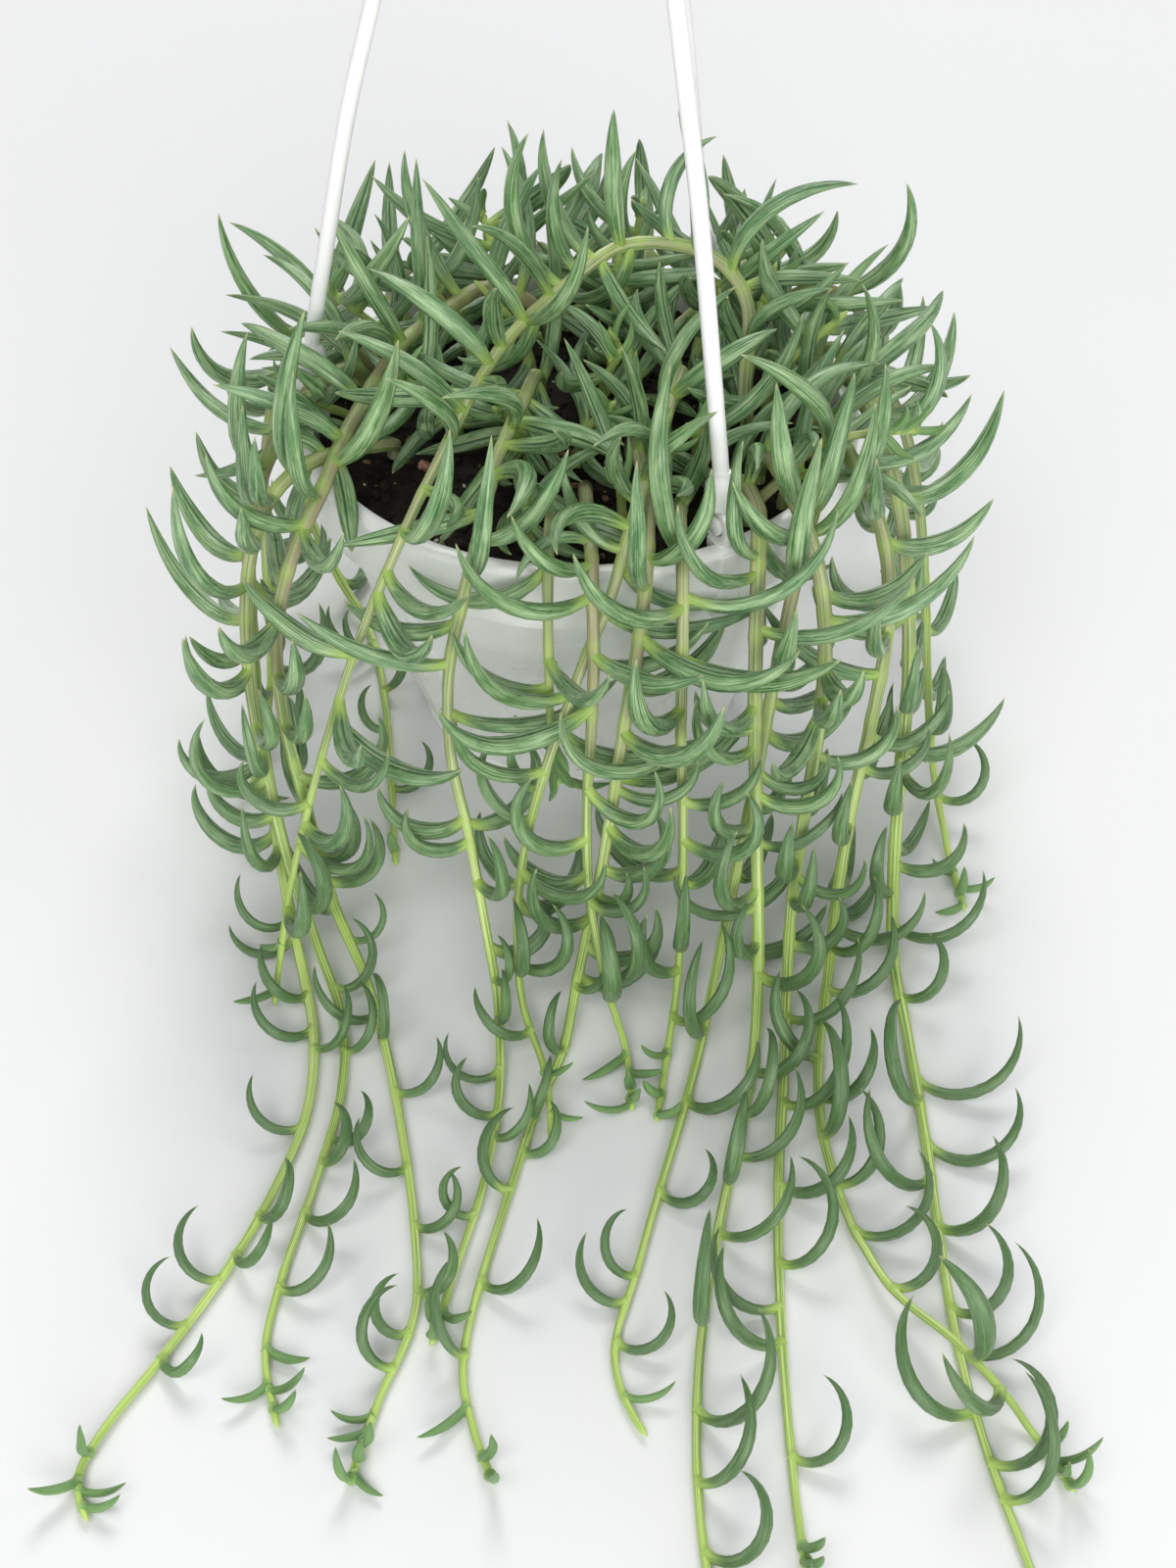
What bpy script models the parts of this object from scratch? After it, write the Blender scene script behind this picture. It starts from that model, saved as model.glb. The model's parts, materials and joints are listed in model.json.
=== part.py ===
# Potted string of fishhooks: trailing succulent stems with hook-shaped leaves in a white
# hanging pot that stands on the surface, with its three-armed hanger upright above it.
# Metres, +Z up. The origin is the centre of the pot's flat base, and the front is -Y.

import math
import random

import bmesh
import bpy
import numpy as np

MM = 0.001  # one millimetre, in metres; every size below is in millimetres

# Pot
POT_HEIGHT = 100.0
RIM_RADIUS = 80.0
MOUTH_RADIUS = 75.0
COLLAR_HEIGHT = 20.0
COLLAR_FOOT_RADIUS = 78.0
BODY_TOP_RADIUS = 73.0
BASE_RADIUS = 49.0
BASE_CHAMFER = 1.2
RIM_ROUND = 2.0
MOUTH_TAPER = 1.0
WALL = 1.8
POT_SIDES = 36
DRAIN_HOLES = 5
DRAIN_HOLE_RADIUS = 4.0
DRAIN_CIRCLE_RADIUS = 31.0

# Three ears on the rim, one for each arm, with a rib below each on the collar
LUG_ANGLES = (180.0, -60.0, 60.0)
EAR_CIRCLE_RADIUS = 74.5
EAR_CENTRE_Z = 105.0
EAR_RADIUS = 6.0
EAR_THICKNESS = 3.0
EAR_HOLE_RADIUS = 3.0
RIB_WIDTH = 6.0
RIB_DEPTH = 6.0
RIB_PROUD = 1.6
RIB_LENGTH = 22.0

# Hanger
ARM_RADIUS = 2.2
ARM_SIDES = 6
ARM_PROFILE = ((74.5, 117.0), (73.4, 124.0), (67.6, 151.0), (59.6, 187.0), (50.7, 219.0),
               (38.5, 262.0), (24.5, 310.0), (13.0, 346.0), (7.3, 365.0))
SHOULDER_RADIUS = 4.4
SHOULDER_TOP_Z = 121.0
TONGUE_WIDTH = 6.0
TONGUE_THICKNESS = 2.2
TONGUE_FOOT_Z = 101.6
BUTTON_RADIUS = 2.6
BOSS_RADIUS = 11.0
BOSS_FOOT_Z = 366.6
BOSS_HEIGHT = 9.0
BOSS_EDGE_HEIGHT = 4.0
BOSS_TOP_RADIUS = 5.0
HOOK_ROD_RADIUS = 2.4
HOOK_RADIUS = 12.0
HOOK_CENTRE_Z = 396.0
HOOK_END_ANGLE = 205.0

# Soil
SOIL_TOP_Z = 92.0
SOIL_DOME = 2.5
SOIL_SIDES = 36
HOLE_SIDES = 5
HOLE_DEPTH = 10.0
HOLE_CLEARANCE = 0.4

# Stems
STEM_SIDES = 4
STEM_RADIUS = 2.2
STEM_TIP_RADIUS = 0.9
SHOOT_RADIUS = 1.9
ROUTE_STEP = 6.0
STEM_MAX_STEP = 28.0
STEM_MAX_TURN = 19.0
STEM_SPACING = 6.6
TAPER_LENGTH = 330.0     # a stem grows thinner over this last part
TAPER_POWER = 1.15       # over 1, most of it near the start
FLOOR_GAP = 0.05
POT_CLEARANCE = 0.9      # between a stem and the pot
HANGER_CLEARANCE = 1.0   # between a stem and the hanger
PUSH_GAIN = 1.3          # how hard crossing stems push each other apart in a round
SMOOTH_EARLY = 0.35      # how much each push is evened out along a stem in the early rounds
SMOOTH_LATE = 0.1        # and in the late ones
EARLY_SHARE = 0.7        # share of the rounds that are early

# Leaves
HOOKED_RINGS = (0.0, 0.2, 0.5, 0.78)
STRAIGHT_RINGS = (0.0, 0.28, 0.66)
YOUNG_RINGS = (0.0, 0.5)
YOUNG_LENGTH = 21.0      # leaves shorter than this get the fewest rings
STRAIGHT_TURN = 118.0    # leaves that bend less than this, in degrees, get fewer rings
LEAF_SIDES = 3
LEAF_ROOT_RADIUS = 1.1
ROOT_SHARE = 0.6         # of its stem's radius, at most, where the root starts inside it
LEAF_WIDEST_AT = 0.38    # from the root (0) to the tip (1)
LEAF_FLATNESS = 0.82
LEAF_CLEARANCE = 0.45
OWN_CLEARANCE = 0.3      # between leaves of one stem
OWN_REACH = 9.0          # a leaf may touch its own stem this near its root
LEAF_CAPSULES = 6
LEAF_TRIES = 24
LEAF_SPACING = 25.0      # from leaf to leaf along a stem
LEAF_STEPS = {"crown": 7.5, "arching": 19.0, "tip": 7.0}  # and closer than that in these zones
LEAF_SEED = 7100
TIP_LENGTH = 24.0        # young leaves stand on this last part of a long stem
SHOOT_TIP_LENGTH = 7.0   # and on this last part of a short shoot
LYING_BELOW = 9.0        # height of a stem that lies on the surface, at most
SHOULDER_ABOVE = 55.0    # outside the rim, larger leaves stand above this height
ONE_SIDED_X = 25.0       # right of this, most lying leaves are on the stem's outer side
ONE_SIDED_SHARE = 0.75
RIGHT_GROWTH = 1.45      # the lying leaves there are longer by this factor
CROWN_RISE = 0.15        # how strongly a crown leaf bends up
CROWN_SPREAD = 0.5       # how strongly outwards, at the rim
CROWN_SWAY = 1.1         # and how far its bend may turn sideways
HANG_RISE = 0.75         # how strongly a hanging leaf bends up,
HANG_BACK = 0.6          # back along its stem
HANG_SPREAD = 0.1        # and outwards
LYING_RISE = 0.55        # how steeply a lying leaf bends up, against back along its stem

# The crown stays open over this line, so that the soil and the stub show there
BARE_LINE = ((-46.0, -36.0, 98.0), (-44.0, -78.0, 136.0))
BARE_RADIUS = 9.5

# These stems lie on top of the crown: no leaf passes through the space just over them
TOP_STEMS = ("stem_arch", "stem_purple", "stem_front_left", "stem_front")
TOP_SPACE = (0.0, -6.0, 7.0)
TOP_RADIUS = 3.0

GAP = 0.3  # between pieces that touch

# Every stem: where it stands in the soil, then the points it passes, in millimetres.
# The long ones climb over the rim, hang clear of the pot and run on along the surface.
LONG_STEMS = {
    "stem_arch": ((48, -6), [
        (47, -3, 106), (48, 20, 122), (36, 30, 132), (15, 26, 137), (1, 14, 135), (-21, -17, 129),
        (-38, -62, 118), (-47, -80, 106), (-57, -88, 84), (-68, -96, 52), (-75, -106, 26),
        (-79, -122, 8), (-81, -140, 3)]),
    "stem_purple": ((-8, 40), [
        (-12, 34, 112), (-25, 32, 119), (-38, 18, 119), (-50, 1, 118), (-61, -32, 115), (-68, -58, 109),
        (-75, -68, 97), (-80, -76, 78), (-79, -86, 56), (-74, -96, 34), (-67, -112, 14), (-57, -132, 4),
        (-50, -156, 3), (-44, -184, 3), (-39, -212, 3), (-37, -238, 3), (-44, -260, 3),
        (-50, -282, 3)]),
    "stem_front_left": ((-11, 10), [
        (-12, 0, 110), (-15, -32, 121), (-21, -56, 119), (-25, -76, 110), (-29, -90, 100),
        (-33, -98, 82), (-33, -105, 60), (-29, -112, 40), (-25, -124, 20), (-21, -142, 6),
        (-20, -172, 3), (-24, -204, 3), (-31, -228, 3), (-36, -246, 3)]),
    "stem_front": ((28, 10), [
        (29, 0, 111), (23, -38, 118), (15, -72, 114), (9, -88, 103), (1, -98, 86), (-7, -106, 64),
        (-13, -114, 42), (-16, -124, 22), (-15, -142, 7), (-10, -164, 3), (-8, -186, 3)]),
    "stem_middle": ((15, -16), [
        (15, -22, 103), (15, -48, 109), (16, -80, 107), (15, -96, 93), (12, -104, 72), (9, -111, 50),
        (5, -121, 28), (0, -137, 10), (-4, -158, 3), (-13, -190, 3), (-21, -220, 3), (-26, -250, 3),
        (-23, -268, 3), (-18, -282, 3)]),
    "stem_short_hang": ((2, -36), [
        (3, -60, 105), (5, -84, 104), (5, -98, 90), (4, -106, 68), (3, -112, 46), (4, -124, 24),
        (8, -140, 9), (13, -158, 3), (14, -176, 3)]),
    "stem_stub_hang": ((-8, -40), [
        (-9, -62, 104), (-8, -86, 103), (-7, -97, 84), (-6, -101, 62), (-5, -102, 46)]),
    "stem_centre_right": ((28, -42), [
        (27, -62, 104), (27, -84, 104), (27, -97, 88), (27, -104, 66), (28, -112, 44), (28, -124, 22),
        (27, -140, 7), (25, -160, 3), (24, -182, 3)]),
    "stem_right_front": ((50, -26), [
        (54, -44, 109), (58, -62, 109), (63, -76, 97), (65, -84, 78), (64, -92, 56), (61, -102, 36),
        (58, -116, 17), (56, -136, 5), (54, -160, 3), (51, -188, 3), (49, -214, 3), (48, -242, 3),
        (48, -270, 3), (49, -296, 3), (53, -320, 3)]),
    "stem_right_inner": ((62, -16), [
        (64, -36, 106), (60, -62, 106), (56, -78, 92), (52, -88, 72), (48, -99, 50), (43, -112, 28),
        (38, -128, 11), (32, -152, 3), (26, -176, 3), (20, -200, 3), (14, -226, 3), (9, -246, 3),
        (11, -260, 3), (16, -270, 3)]),
    "stem_right_middle": ((42, -32), [
        (43, -52, 107), (44, -76, 106), (45, -90, 91), (46, -99, 70), (47, -108, 48), (48, -120, 26),
        (48, -137, 9), (46, -158, 3), (42, -180, 3), (36, -206, 3), (31, -232, 3), (28, -256, 3),
        (27, -282, 3), (29, -308, 3), (35, -332, 3)]),
    "stem_right_sweep": ((64, -2), [
        (70, -22, 106), (76, -42, 105), (83, -54, 90), (84, -66, 70), (80, -80, 50), (75, -94, 32),
        (71, -110, 15), (67, -134, 4), (63, -158, 3), (62, -182, 3), (66, -208, 3), (74, -232, 5),
        (88, -252, 9.5), (102, -268, 3), (110, -284, 3)]),
    "stem_right_outer": ((64, 20), [
        (74, 4, 109), (82, -18, 106), (88, -36, 93), (91, -50, 72), (92, -62, 50), (90, -78, 30),
        (88, -96, 13), (86, -122, 4), (87, -152, 3), (88, -188, 3), (88, -220, 3), (89, -248, 3),
        (92, -274, 3), (97, -300, 3), (102, -324, 3)]),
    "stem_right_side": ((60, 34), [
        (78, 18, 107), (92, 8, 94), (99, -2, 72), (102, -16, 48), (103, -34, 26), (104, -56, 10),
        (106, -80, 3), (108, -104, 3)]),
    "stem_left_outer": ((-58, 10), [
        (-67, 2, 112), (-78, -12, 112), (-86, -28, 102), (-90, -44, 86), (-90, -58, 66), (-88, -74, 46),
        (-84, -90, 28), (-79, -110, 11), (-73, -132, 3), (-69, -154, 3), (-69, -178, 3), (-75, -202, 3),
        (-84, -226, 3), (-96, -250, 3), (-106, -268, 3), (-110, -281, 3), (-106, -291, 3)]),
    "stem_left_arch": ((-52, -14), [
        (-62, -34, 108), (-74, -48, 111), (-83, -58, 104), (-88, -68, 86), (-88, -80, 62),
        (-84, -93, 40), (-79, -108, 20), (-72, -124, 8), (-63, -146, 3), (-61, -172, 3), (-65, -200, 3),
        (-70, -226, 3), (-72, -248, 3), (-67, -268, 3)]),
    "stem_under_left": ((-44, 38), [
        (-58, 46, 106), (-74, 50, 105), (-85, 54, 88), (-91, 54, 60), (-88, 50, 32), (-78, 40, 10),
        (-68, 24, 3), (-62, 0, 3), (-58, -28, 3), (-55, -56, 3), (-52, -86, 3)]),
    "stem_back_right": ((26, 44), [
        (40, 64, 106), (48, 76, 104), (57, 90, 86), (62, 98, 56), (66, 108, 26), (70, 126, 6),
        (68, 150, 3), (60, 172, 3)]),
    "stem_back": ((-4, 56), [
        (-9, 72, 107), (-13, 86, 102), (-16, 98, 80), (-18, 104, 50), (-20, 114, 22), (-24, 132, 5),
        (-30, 154, 3), (-40, 172, 3)]),
    "stem_back_left": ((-34, 52), [
        (-44, 66, 107), (-52, 76, 102), (-62, 88, 80), (-67, 94, 50), (-72, 104, 22), (-80, 120, 5),
        (-88, 138, 3), (-92, 156, 3)]),
    "stem_back_short": ((16, 60), [
        (20, 76, 106), (23, 90, 96), (25, 98, 74), (26, 103, 46), (28, 106, 26)]),
    "stem_right_rear": ((52, 48), [
        (64, 47, 109), (76, 49, 109), (86, 51, 98), (92, 52, 74), (95, 52, 46), (98, 50, 22),
        (100, 42, 6), (104, 26, 3)]),
    "stem_left_rear": ((-60, 26), [
        (-72, 26, 108), (-83, 26, 102), (-91, 24, 84), (-95, 16, 60), (-95, 4, 36), (-94, -14, 14),
        (-95, -36, 3), (-98, -58, 3)]),
}

# The short shoots of the crown: standing place, height above the soil, and how far and in
# which direction (degrees) the tip leans out.
CROWN_SHOOTS = {
    "shoot_01": ((-30, 24), 34, 22, 150),
    "shoot_02": ((-34, -8), 26, 20, 200),
    "shoot_03": ((-12, -54), 18, 12, 265),
    "shoot_04": ((10, 28), 40, 14, 80),
    "shoot_05": ((34, 28), 34, 24, 50),
    "shoot_06": ((6, -2), 32, 12, 300),
    "shoot_07": ((40, -12), 28, 18, 340),
    "shoot_08": ((-14, -18), 24, 14, 230),
    "shoot_09": ((22, -26), 22, 14, 280),
    "shoot_10": ((-50, 24), 30, 24, 170),
    "shoot_11": ((46, 44), 30, 26, 40),
    "shoot_12": ((-22, 58), 28, 24, 110),
    "shoot_13": ((-62, -4), 20, 18, 200),
    "shoot_14": ((14, 50), 36, 20, 75),
    "shoot_15": ((33, -24), 24, 16, 250),
    "shoot_16": ((54, 6), 32, 22, 10),
    "shoot_17": ((18, 4), 30, 10, 200),
    "shoot_18": ((12, -48), 18, 12, 285),
    "shoot_19": ((-14, 27), 30, 16, 180),
    "shoot_20": ((-22, -2), 24, 12, 260),
    "shoot_21": ((48, 18), 34, 18, 60),
    "shoot_22": ((0, -20), 24, 12, 330),
    "shoot_23": ((56, -38), 22, 16, 320),
}
SIDE_SHOOT = ((46, -46), [(54, -46, 108), (68, -44, 116), (84, -40, 117), (97, -35, 115)])

STUB_PLACE = (-38, -26)
STUB_HEIGHT = 7.0
STUB_LEAN = (-5.0, -4.0)
STUB_RADIUS = 1.5


def make_material(name, colour, roughness):
    material = bpy.data.materials.new(name)
    material.use_nodes = True
    shader = material.node_tree.nodes["Principled BSDF"]
    shader.inputs["Base Color"].default_value = (*colour, 1.0)
    shader.inputs["Roughness"].default_value = roughness
    shader.inputs["Metallic"].default_value = 0.0
    return material


def mesh_object(name, points, faces, material=None):
    """A new object from points in millimetres."""
    mesh = bpy.data.meshes.new(name)
    mesh.from_pydata([tuple(c * MM for c in point) for point in points], [], faces)
    mesh.validate()
    thing = bpy.data.objects.new(name, mesh)
    bpy.context.scene.collection.objects.link(thing)
    if material:
        mesh.materials.append(material)
    return thing


def apply_modifiers(thing):
    bpy.context.view_layer.update()
    depsgraph = bpy.context.evaluated_depsgraph_get()
    mesh = bpy.data.meshes.new_from_object(thing.evaluated_get(depsgraph))
    thing.modifiers.clear()
    thing.data = mesh


def boolean_with(thing, others, operation):
    """One Boolean of a solid with a whole collection of others, applied."""
    tools = bpy.data.collections.new("tools")
    bpy.context.scene.collection.children.link(tools)
    for other in others:
        bpy.context.scene.collection.objects.unlink(other)
        tools.objects.link(other)
    modifier = thing.modifiers.new("Boolean", "BOOLEAN")
    modifier.operation = operation
    modifier.operand_type = "COLLECTION"
    modifier.collection = tools
    modifier.solver = "EXACT"
    apply_modifiers(thing)
    for other in list(tools.objects):
        bpy.data.objects.remove(other)
    bpy.data.collections.remove(tools)


def keep_outer_skin(thing):
    """Drops every closed skin but the largest: sealed pockets between leaves, and loose scrap."""
    skin = bmesh.new()
    skin.from_mesh(thing.data)
    skin.faces.ensure_lookup_table()
    group = {}
    groups = []
    for face in skin.faces:
        if face in group:
            continue
        members = [face]
        group[face] = len(groups)
        for member in members:
            for edge in member.edges:
                for other in edge.link_faces:
                    if other not in group:
                        group[other] = len(groups)
                        members.append(other)
        groups.append(members)
    groups.sort(key=len)
    for members in groups[:-1]:
        bmesh.ops.delete(skin, geom=members, context="FACES")
    skin.to_mesh(thing.data)
    skin.free()


def shade(thing, angle=40.0):
    thing.data.shade_smooth()
    thing.data.set_sharp_from_angle(angle=math.radians(angle))


def turned(name, profile, sides, material=None):
    """A solid turned about Z from (radius, height) points that start and end on the axis."""
    points = [(0.0, 0.0, profile[0][1])]
    for radius, height in profile[1:-1]:
        for i in range(sides):
            angle = 2 * math.pi * i / sides
            points.append((radius * math.cos(angle), radius * math.sin(angle), height))
    points.append((0.0, 0.0, profile[-1][1]))
    last = len(points) - 1
    rings = len(profile) - 2
    faces = []
    for i in range(sides):
        j = (i + 1) % sides
        faces.append((0, 1 + j, 1 + i))
        for k in range(rings - 1):
            a = 1 + k * sides
            b = a + sides
            faces.append((a + i, a + j, b + j, b + i))
        end = 1 + (rings - 1) * sides
        faces.append((end + i, end + j, last))
    return mesh_object(name, points, faces, material)


def ring_frames(path):
    """Unit tangents of a path and two sideways directions that turn as little as possible."""
    path = np.asarray(path, float)
    tangents = np.gradient(path, axis=0)
    tangents /= np.linalg.norm(tangents, axis=1)[:, None]
    side = np.cross(tangents[0], (0.0, 0.0, 1.0))
    if np.linalg.norm(side) < 0.2:
        side = np.array((1.0, 0.0, 0.0))
    frames = []
    for tangent in tangents:
        side = side - tangent * side.dot(tangent)
        side /= np.linalg.norm(side)
        frames.append((tangent, side, np.cross(tangent, side)))
    return frames


def tube(name, path, radii, sides, material=None, flat=1.0, pointed=False, frames=None, spin=0.0):
    """A closed tube round a path; flat squeezes it across, and pointed ends it in a tip."""
    frames = frames or ring_frames(path)
    points = []
    faces = []
    for centre, radius, (_, side, up) in zip(path, radii, frames):
        for i in range(sides):
            angle = spin + 2 * math.pi * i / sides
            offset = side * (radius * math.cos(angle)) + up * (radius * flat * math.sin(angle))
            points.append(tuple(np.asarray(centre) + offset))
    rings = len(radii)
    for k in range(rings - 1):
        for i in range(sides):
            j = (i + 1) % sides
            faces.append((k * sides + i, k * sides + j, (k + 1) * sides + j, (k + 1) * sides + i))
    faces.append(tuple(reversed(range(sides))))
    end = (rings - 1) * sides
    if pointed:
        points.append(tuple(path[-1]))
        for i in range(sides):
            faces.append((end + i, end + (i + 1) % sides, len(points) - 1))
    else:
        faces.append(tuple(end + i for i in range(sides)))
    return mesh_object(name, points, faces, material)


def polar(radius, degrees, z):
    angle = math.radians(degrees)
    return np.array((radius * math.cos(angle), radius * math.sin(angle), z))


def block(name, centre, axes, sizes):
    """A box from its centre, three unit directions and its full sizes along them."""
    points = []
    for a in (-0.5, 0.5):
        for b in (-0.5, 0.5):
            for c in (-0.5, 0.5):
                points.append(tuple(centre + axes[0] * sizes[0] * a + axes[1] * sizes[1] * b
                                    + axes[2] * sizes[2] * c))
    faces = [(0, 1, 3, 2), (4, 6, 7, 5), (0, 4, 5, 1), (2, 3, 7, 6), (0, 2, 6, 4), (1, 5, 7, 3)]
    return mesh_object(name, points, faces)


# Pot

def inner_profile(gap=0.0):
    """The pot's inside from floor to mouth, drawn in by a gap."""
    return [(BASE_RADIUS - WALL - 0.6 - gap, WALL + gap),
            (BODY_TOP_RADIUS - WALL - gap, POT_HEIGHT - COLLAR_HEIGHT - 2.0)]


def make_pot(material):
    collar_foot = POT_HEIGHT - COLLAR_HEIGHT
    profile = [(0.0, 0.0), (BASE_RADIUS - BASE_CHAMFER, 0.0), (BASE_RADIUS, BASE_CHAMFER),
               (BODY_TOP_RADIUS, collar_foot - 0.4), (COLLAR_FOOT_RADIUS - 0.5, collar_foot),
               (COLLAR_FOOT_RADIUS, collar_foot + 0.6), (RIM_RADIUS, POT_HEIGHT - RIM_ROUND),
               (RIM_RADIUS - 0.7, POT_HEIGHT - 0.5), (RIM_RADIUS - RIM_ROUND, POT_HEIGHT),
               (MOUTH_RADIUS + 0.7, POT_HEIGHT), (MOUTH_RADIUS, POT_HEIGHT - 0.8),
               (MOUTH_RADIUS - MOUTH_TAPER, collar_foot + 1.0)]
    profile += list(reversed(inner_profile()))
    profile.append((0.0, WALL))
    pot = turned("pot", profile, POT_SIDES, material)
    additions = []
    cutters = []
    for angle in LUG_ANGLES:
        out = polar(1.0, angle, 0.0)
        along = np.array((-out[1], out[0], 0.0))
        up = np.array((0.0, 0.0, 1.0))
        centre = polar(EAR_CIRCLE_RADIUS, angle, EAR_CENTRE_Z)
        ear_ends = [centre - along * EAR_THICKNESS / 2, centre + along * EAR_THICKNESS / 2]
        additions.append(tube("ear", ear_ends, [EAR_RADIUS] * 2, 14))
        hole_ends = [centre - along * EAR_THICKNESS, centre + along * EAR_THICKNESS]
        cutters.append(tube("ear_hole", hole_ends, [EAR_HOLE_RADIUS] * 2, 10))
        rib_radius = COLLAR_FOOT_RADIUS + RIB_PROUD + 1.0 - RIB_DEPTH / 2
        rib = polar(rib_radius, angle, POT_HEIGHT - 1.0 - RIB_LENGTH / 2)
        additions.append(block("rib", rib, (out, along, up), (RIB_DEPTH, RIB_WIDTH, RIB_LENGTH)))
    for i in range(DRAIN_HOLES):
        centre = polar(DRAIN_CIRCLE_RADIUS, 360.0 * i / DRAIN_HOLES + 30.0, 0.0)
        ends = [centre - np.array((0, 0, 2.0)), centre + np.array((0, 0, 5.0))]
        cutters.append(tube("drain", ends, [DRAIN_HOLE_RADIUS] * 2, 8))
    boolean_with(pot, additions, "UNION")
    boolean_with(pot, cutters, "DIFFERENCE")
    shade(pot)
    return pot


# Hanger

def make_arm(name, degrees, material):
    """One arm: rod, shoulder over the ear, tongue beside it and button through its hole."""
    out = polar(1.0, degrees, 0.0)
    along = np.array((-out[1], out[0], 0.0))
    up = np.array((0.0, 0.0, 1.0))
    path = [polar(radius, degrees, z) for radius, z in ARM_PROFILE]
    arm = tube(name, path, [ARM_RADIUS] * len(path), ARM_SIDES, material)
    ear_top = EAR_CENTRE_Z + EAR_RADIUS
    foot = polar(EAR_CIRCLE_RADIUS, degrees, ear_top + GAP)
    shoulder_path = [foot, foot + up * 4.0, polar(EAR_CIRCLE_RADIUS - 0.3, degrees, SHOULDER_TOP_Z)]
    shoulder = tube("shoulder", shoulder_path, [SHOULDER_RADIUS, SHOULDER_RADIUS, ARM_RADIUS * 0.9], 8)
    offset = EAR_THICKNESS / 2 + GAP + TONGUE_THICKNESS / 2
    tongue_height = ear_top + 2.5 - TONGUE_FOOT_Z
    tongue_centre = polar(EAR_CIRCLE_RADIUS, degrees, TONGUE_FOOT_Z + tongue_height / 2) + along * offset
    tongue_sizes = (TONGUE_WIDTH, TONGUE_THICKNESS, tongue_height)
    tongue = block("tongue", tongue_centre, (out, along, up), tongue_sizes)
    ear = polar(EAR_CIRCLE_RADIUS, degrees, EAR_CENTRE_Z)
    button_path = [ear + along * offset, ear - along * (EAR_THICKNESS / 2 + 0.6)]
    button = tube("button", button_path, [BUTTON_RADIUS] * 2, 8)
    boolean_with(arm, [shoulder, tongue, button], "UNION")
    shade(arm)
    return arm


def make_hook(material):
    """The boss over the arms' ends, with the open hook that a rail or nail takes."""
    top = BOSS_FOOT_Z + BOSS_HEIGHT
    profile = [(0.0, BOSS_FOOT_Z), (BOSS_RADIUS, BOSS_FOOT_Z),
               (BOSS_RADIUS, BOSS_FOOT_Z + BOSS_EDGE_HEIGHT), (BOSS_TOP_RADIUS, top), (0.0, top)]
    boss = turned("hanger_hook", profile, 16, material)
    path = [np.array((0.0, 0.0, top - 3.0))]
    steps = 11
    for i in range(steps + 1):
        angle = math.radians(-90.0 + (HOOK_END_ANGLE + 90.0) * i / steps)
        x = HOOK_RADIUS * math.cos(angle)
        path.append(np.array((x, 0.0, HOOK_CENTRE_Z + HOOK_RADIUS * math.sin(angle))))
    rod = tube("rod", path, [HOOK_ROD_RADIUS] * len(path), 6)
    boolean_with(boss, [rod], "UNION")
    shade(boss)
    return boss


# Stem routes

def smooth_route(points, step):
    """Points a fixed step apart on a smooth curve through the given ones."""
    points = [np.asarray(p, float) for p in points]
    ends = [2 * points[0] - points[1]] + points + [2 * points[-1] - points[-2]]
    fine = []
    for a, b, c, d in zip(ends, ends[1:], ends[2:], ends[3:]):
        for i in range(12):
            t = i / 12
            fine.append(0.5 * ((2 * b) + (c - a) * t + (2 * a - 5 * b + 4 * c - d) * t * t
                               + (3 * b - a - 3 * c + d) * t ** 3))
    fine.append(points[-1])
    fine = np.array(fine)
    run = np.concatenate(([0.0], np.cumsum(np.linalg.norm(np.diff(fine, axis=0), axis=1))))
    count = max(4, int(round(run[-1] / step)) + 1)
    marks = np.linspace(0.0, run[-1], count)
    return np.stack([np.interp(marks, run, fine[:, k]) for k in range(3)], axis=-1)


def soil_height(x, y):
    return SOIL_TOP_Z + SOIL_DOME * (1.0 - (x * x + y * y) / MOUTH_RADIUS ** 2)


def rooted(place, points):
    """A route that stands straight in its hole in the soil before it bends away."""
    x, y = place
    top = soil_height(x, y)
    return [(x, y, top - HOLE_DEPTH + 1.0), (x, y, top - 3.0), (x, y, top + 3.0)] + list(points)


def shoot_route(place, height, lean, degrees):
    x, y = place
    top = soil_height(x, y)
    tip = polar(lean, degrees, 0.0)
    return rooted(place, [(x + tip[0] * 0.25, y + tip[1] * 0.25, top + height * 0.5),
                          (x + tip[0], y + tip[1], top + height)])


def stem_plan():
    """Every stem as [name, route, radius at the foot]."""
    plan = [["shoot_side", smooth_route(rooted(*SIDE_SHOOT), ROUTE_STEP), SHOOT_RADIUS]]
    for name, spec in LONG_STEMS.items():
        plan.append([name, smooth_route(rooted(*spec), ROUTE_STEP), STEM_RADIUS])
    for name, spec in CROWN_SHOOTS.items():
        plan.append([name, smooth_route(shoot_route(*spec), ROUTE_STEP), SHOOT_RADIUS])
    return plan


def pot_section():
    """The outline of pot and soil as (radius, height), for keeping the plant clear."""
    return np.array([(0, 0), (BASE_RADIUS, 0), (BODY_TOP_RADIUS, POT_HEIGHT - COLLAR_HEIGHT - 0.4),
                     (COLLAR_FOOT_RADIUS, POT_HEIGHT - COLLAR_HEIGHT), (RIM_RADIUS, POT_HEIGHT - 1.5),
                     (RIM_RADIUS - 1.5, POT_HEIGHT), (MOUTH_RADIUS, POT_HEIGHT),
                     (MOUTH_RADIUS - 0.6, SOIL_TOP_Z), (0, SOIL_TOP_Z + SOIL_DOME)], float)


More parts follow.
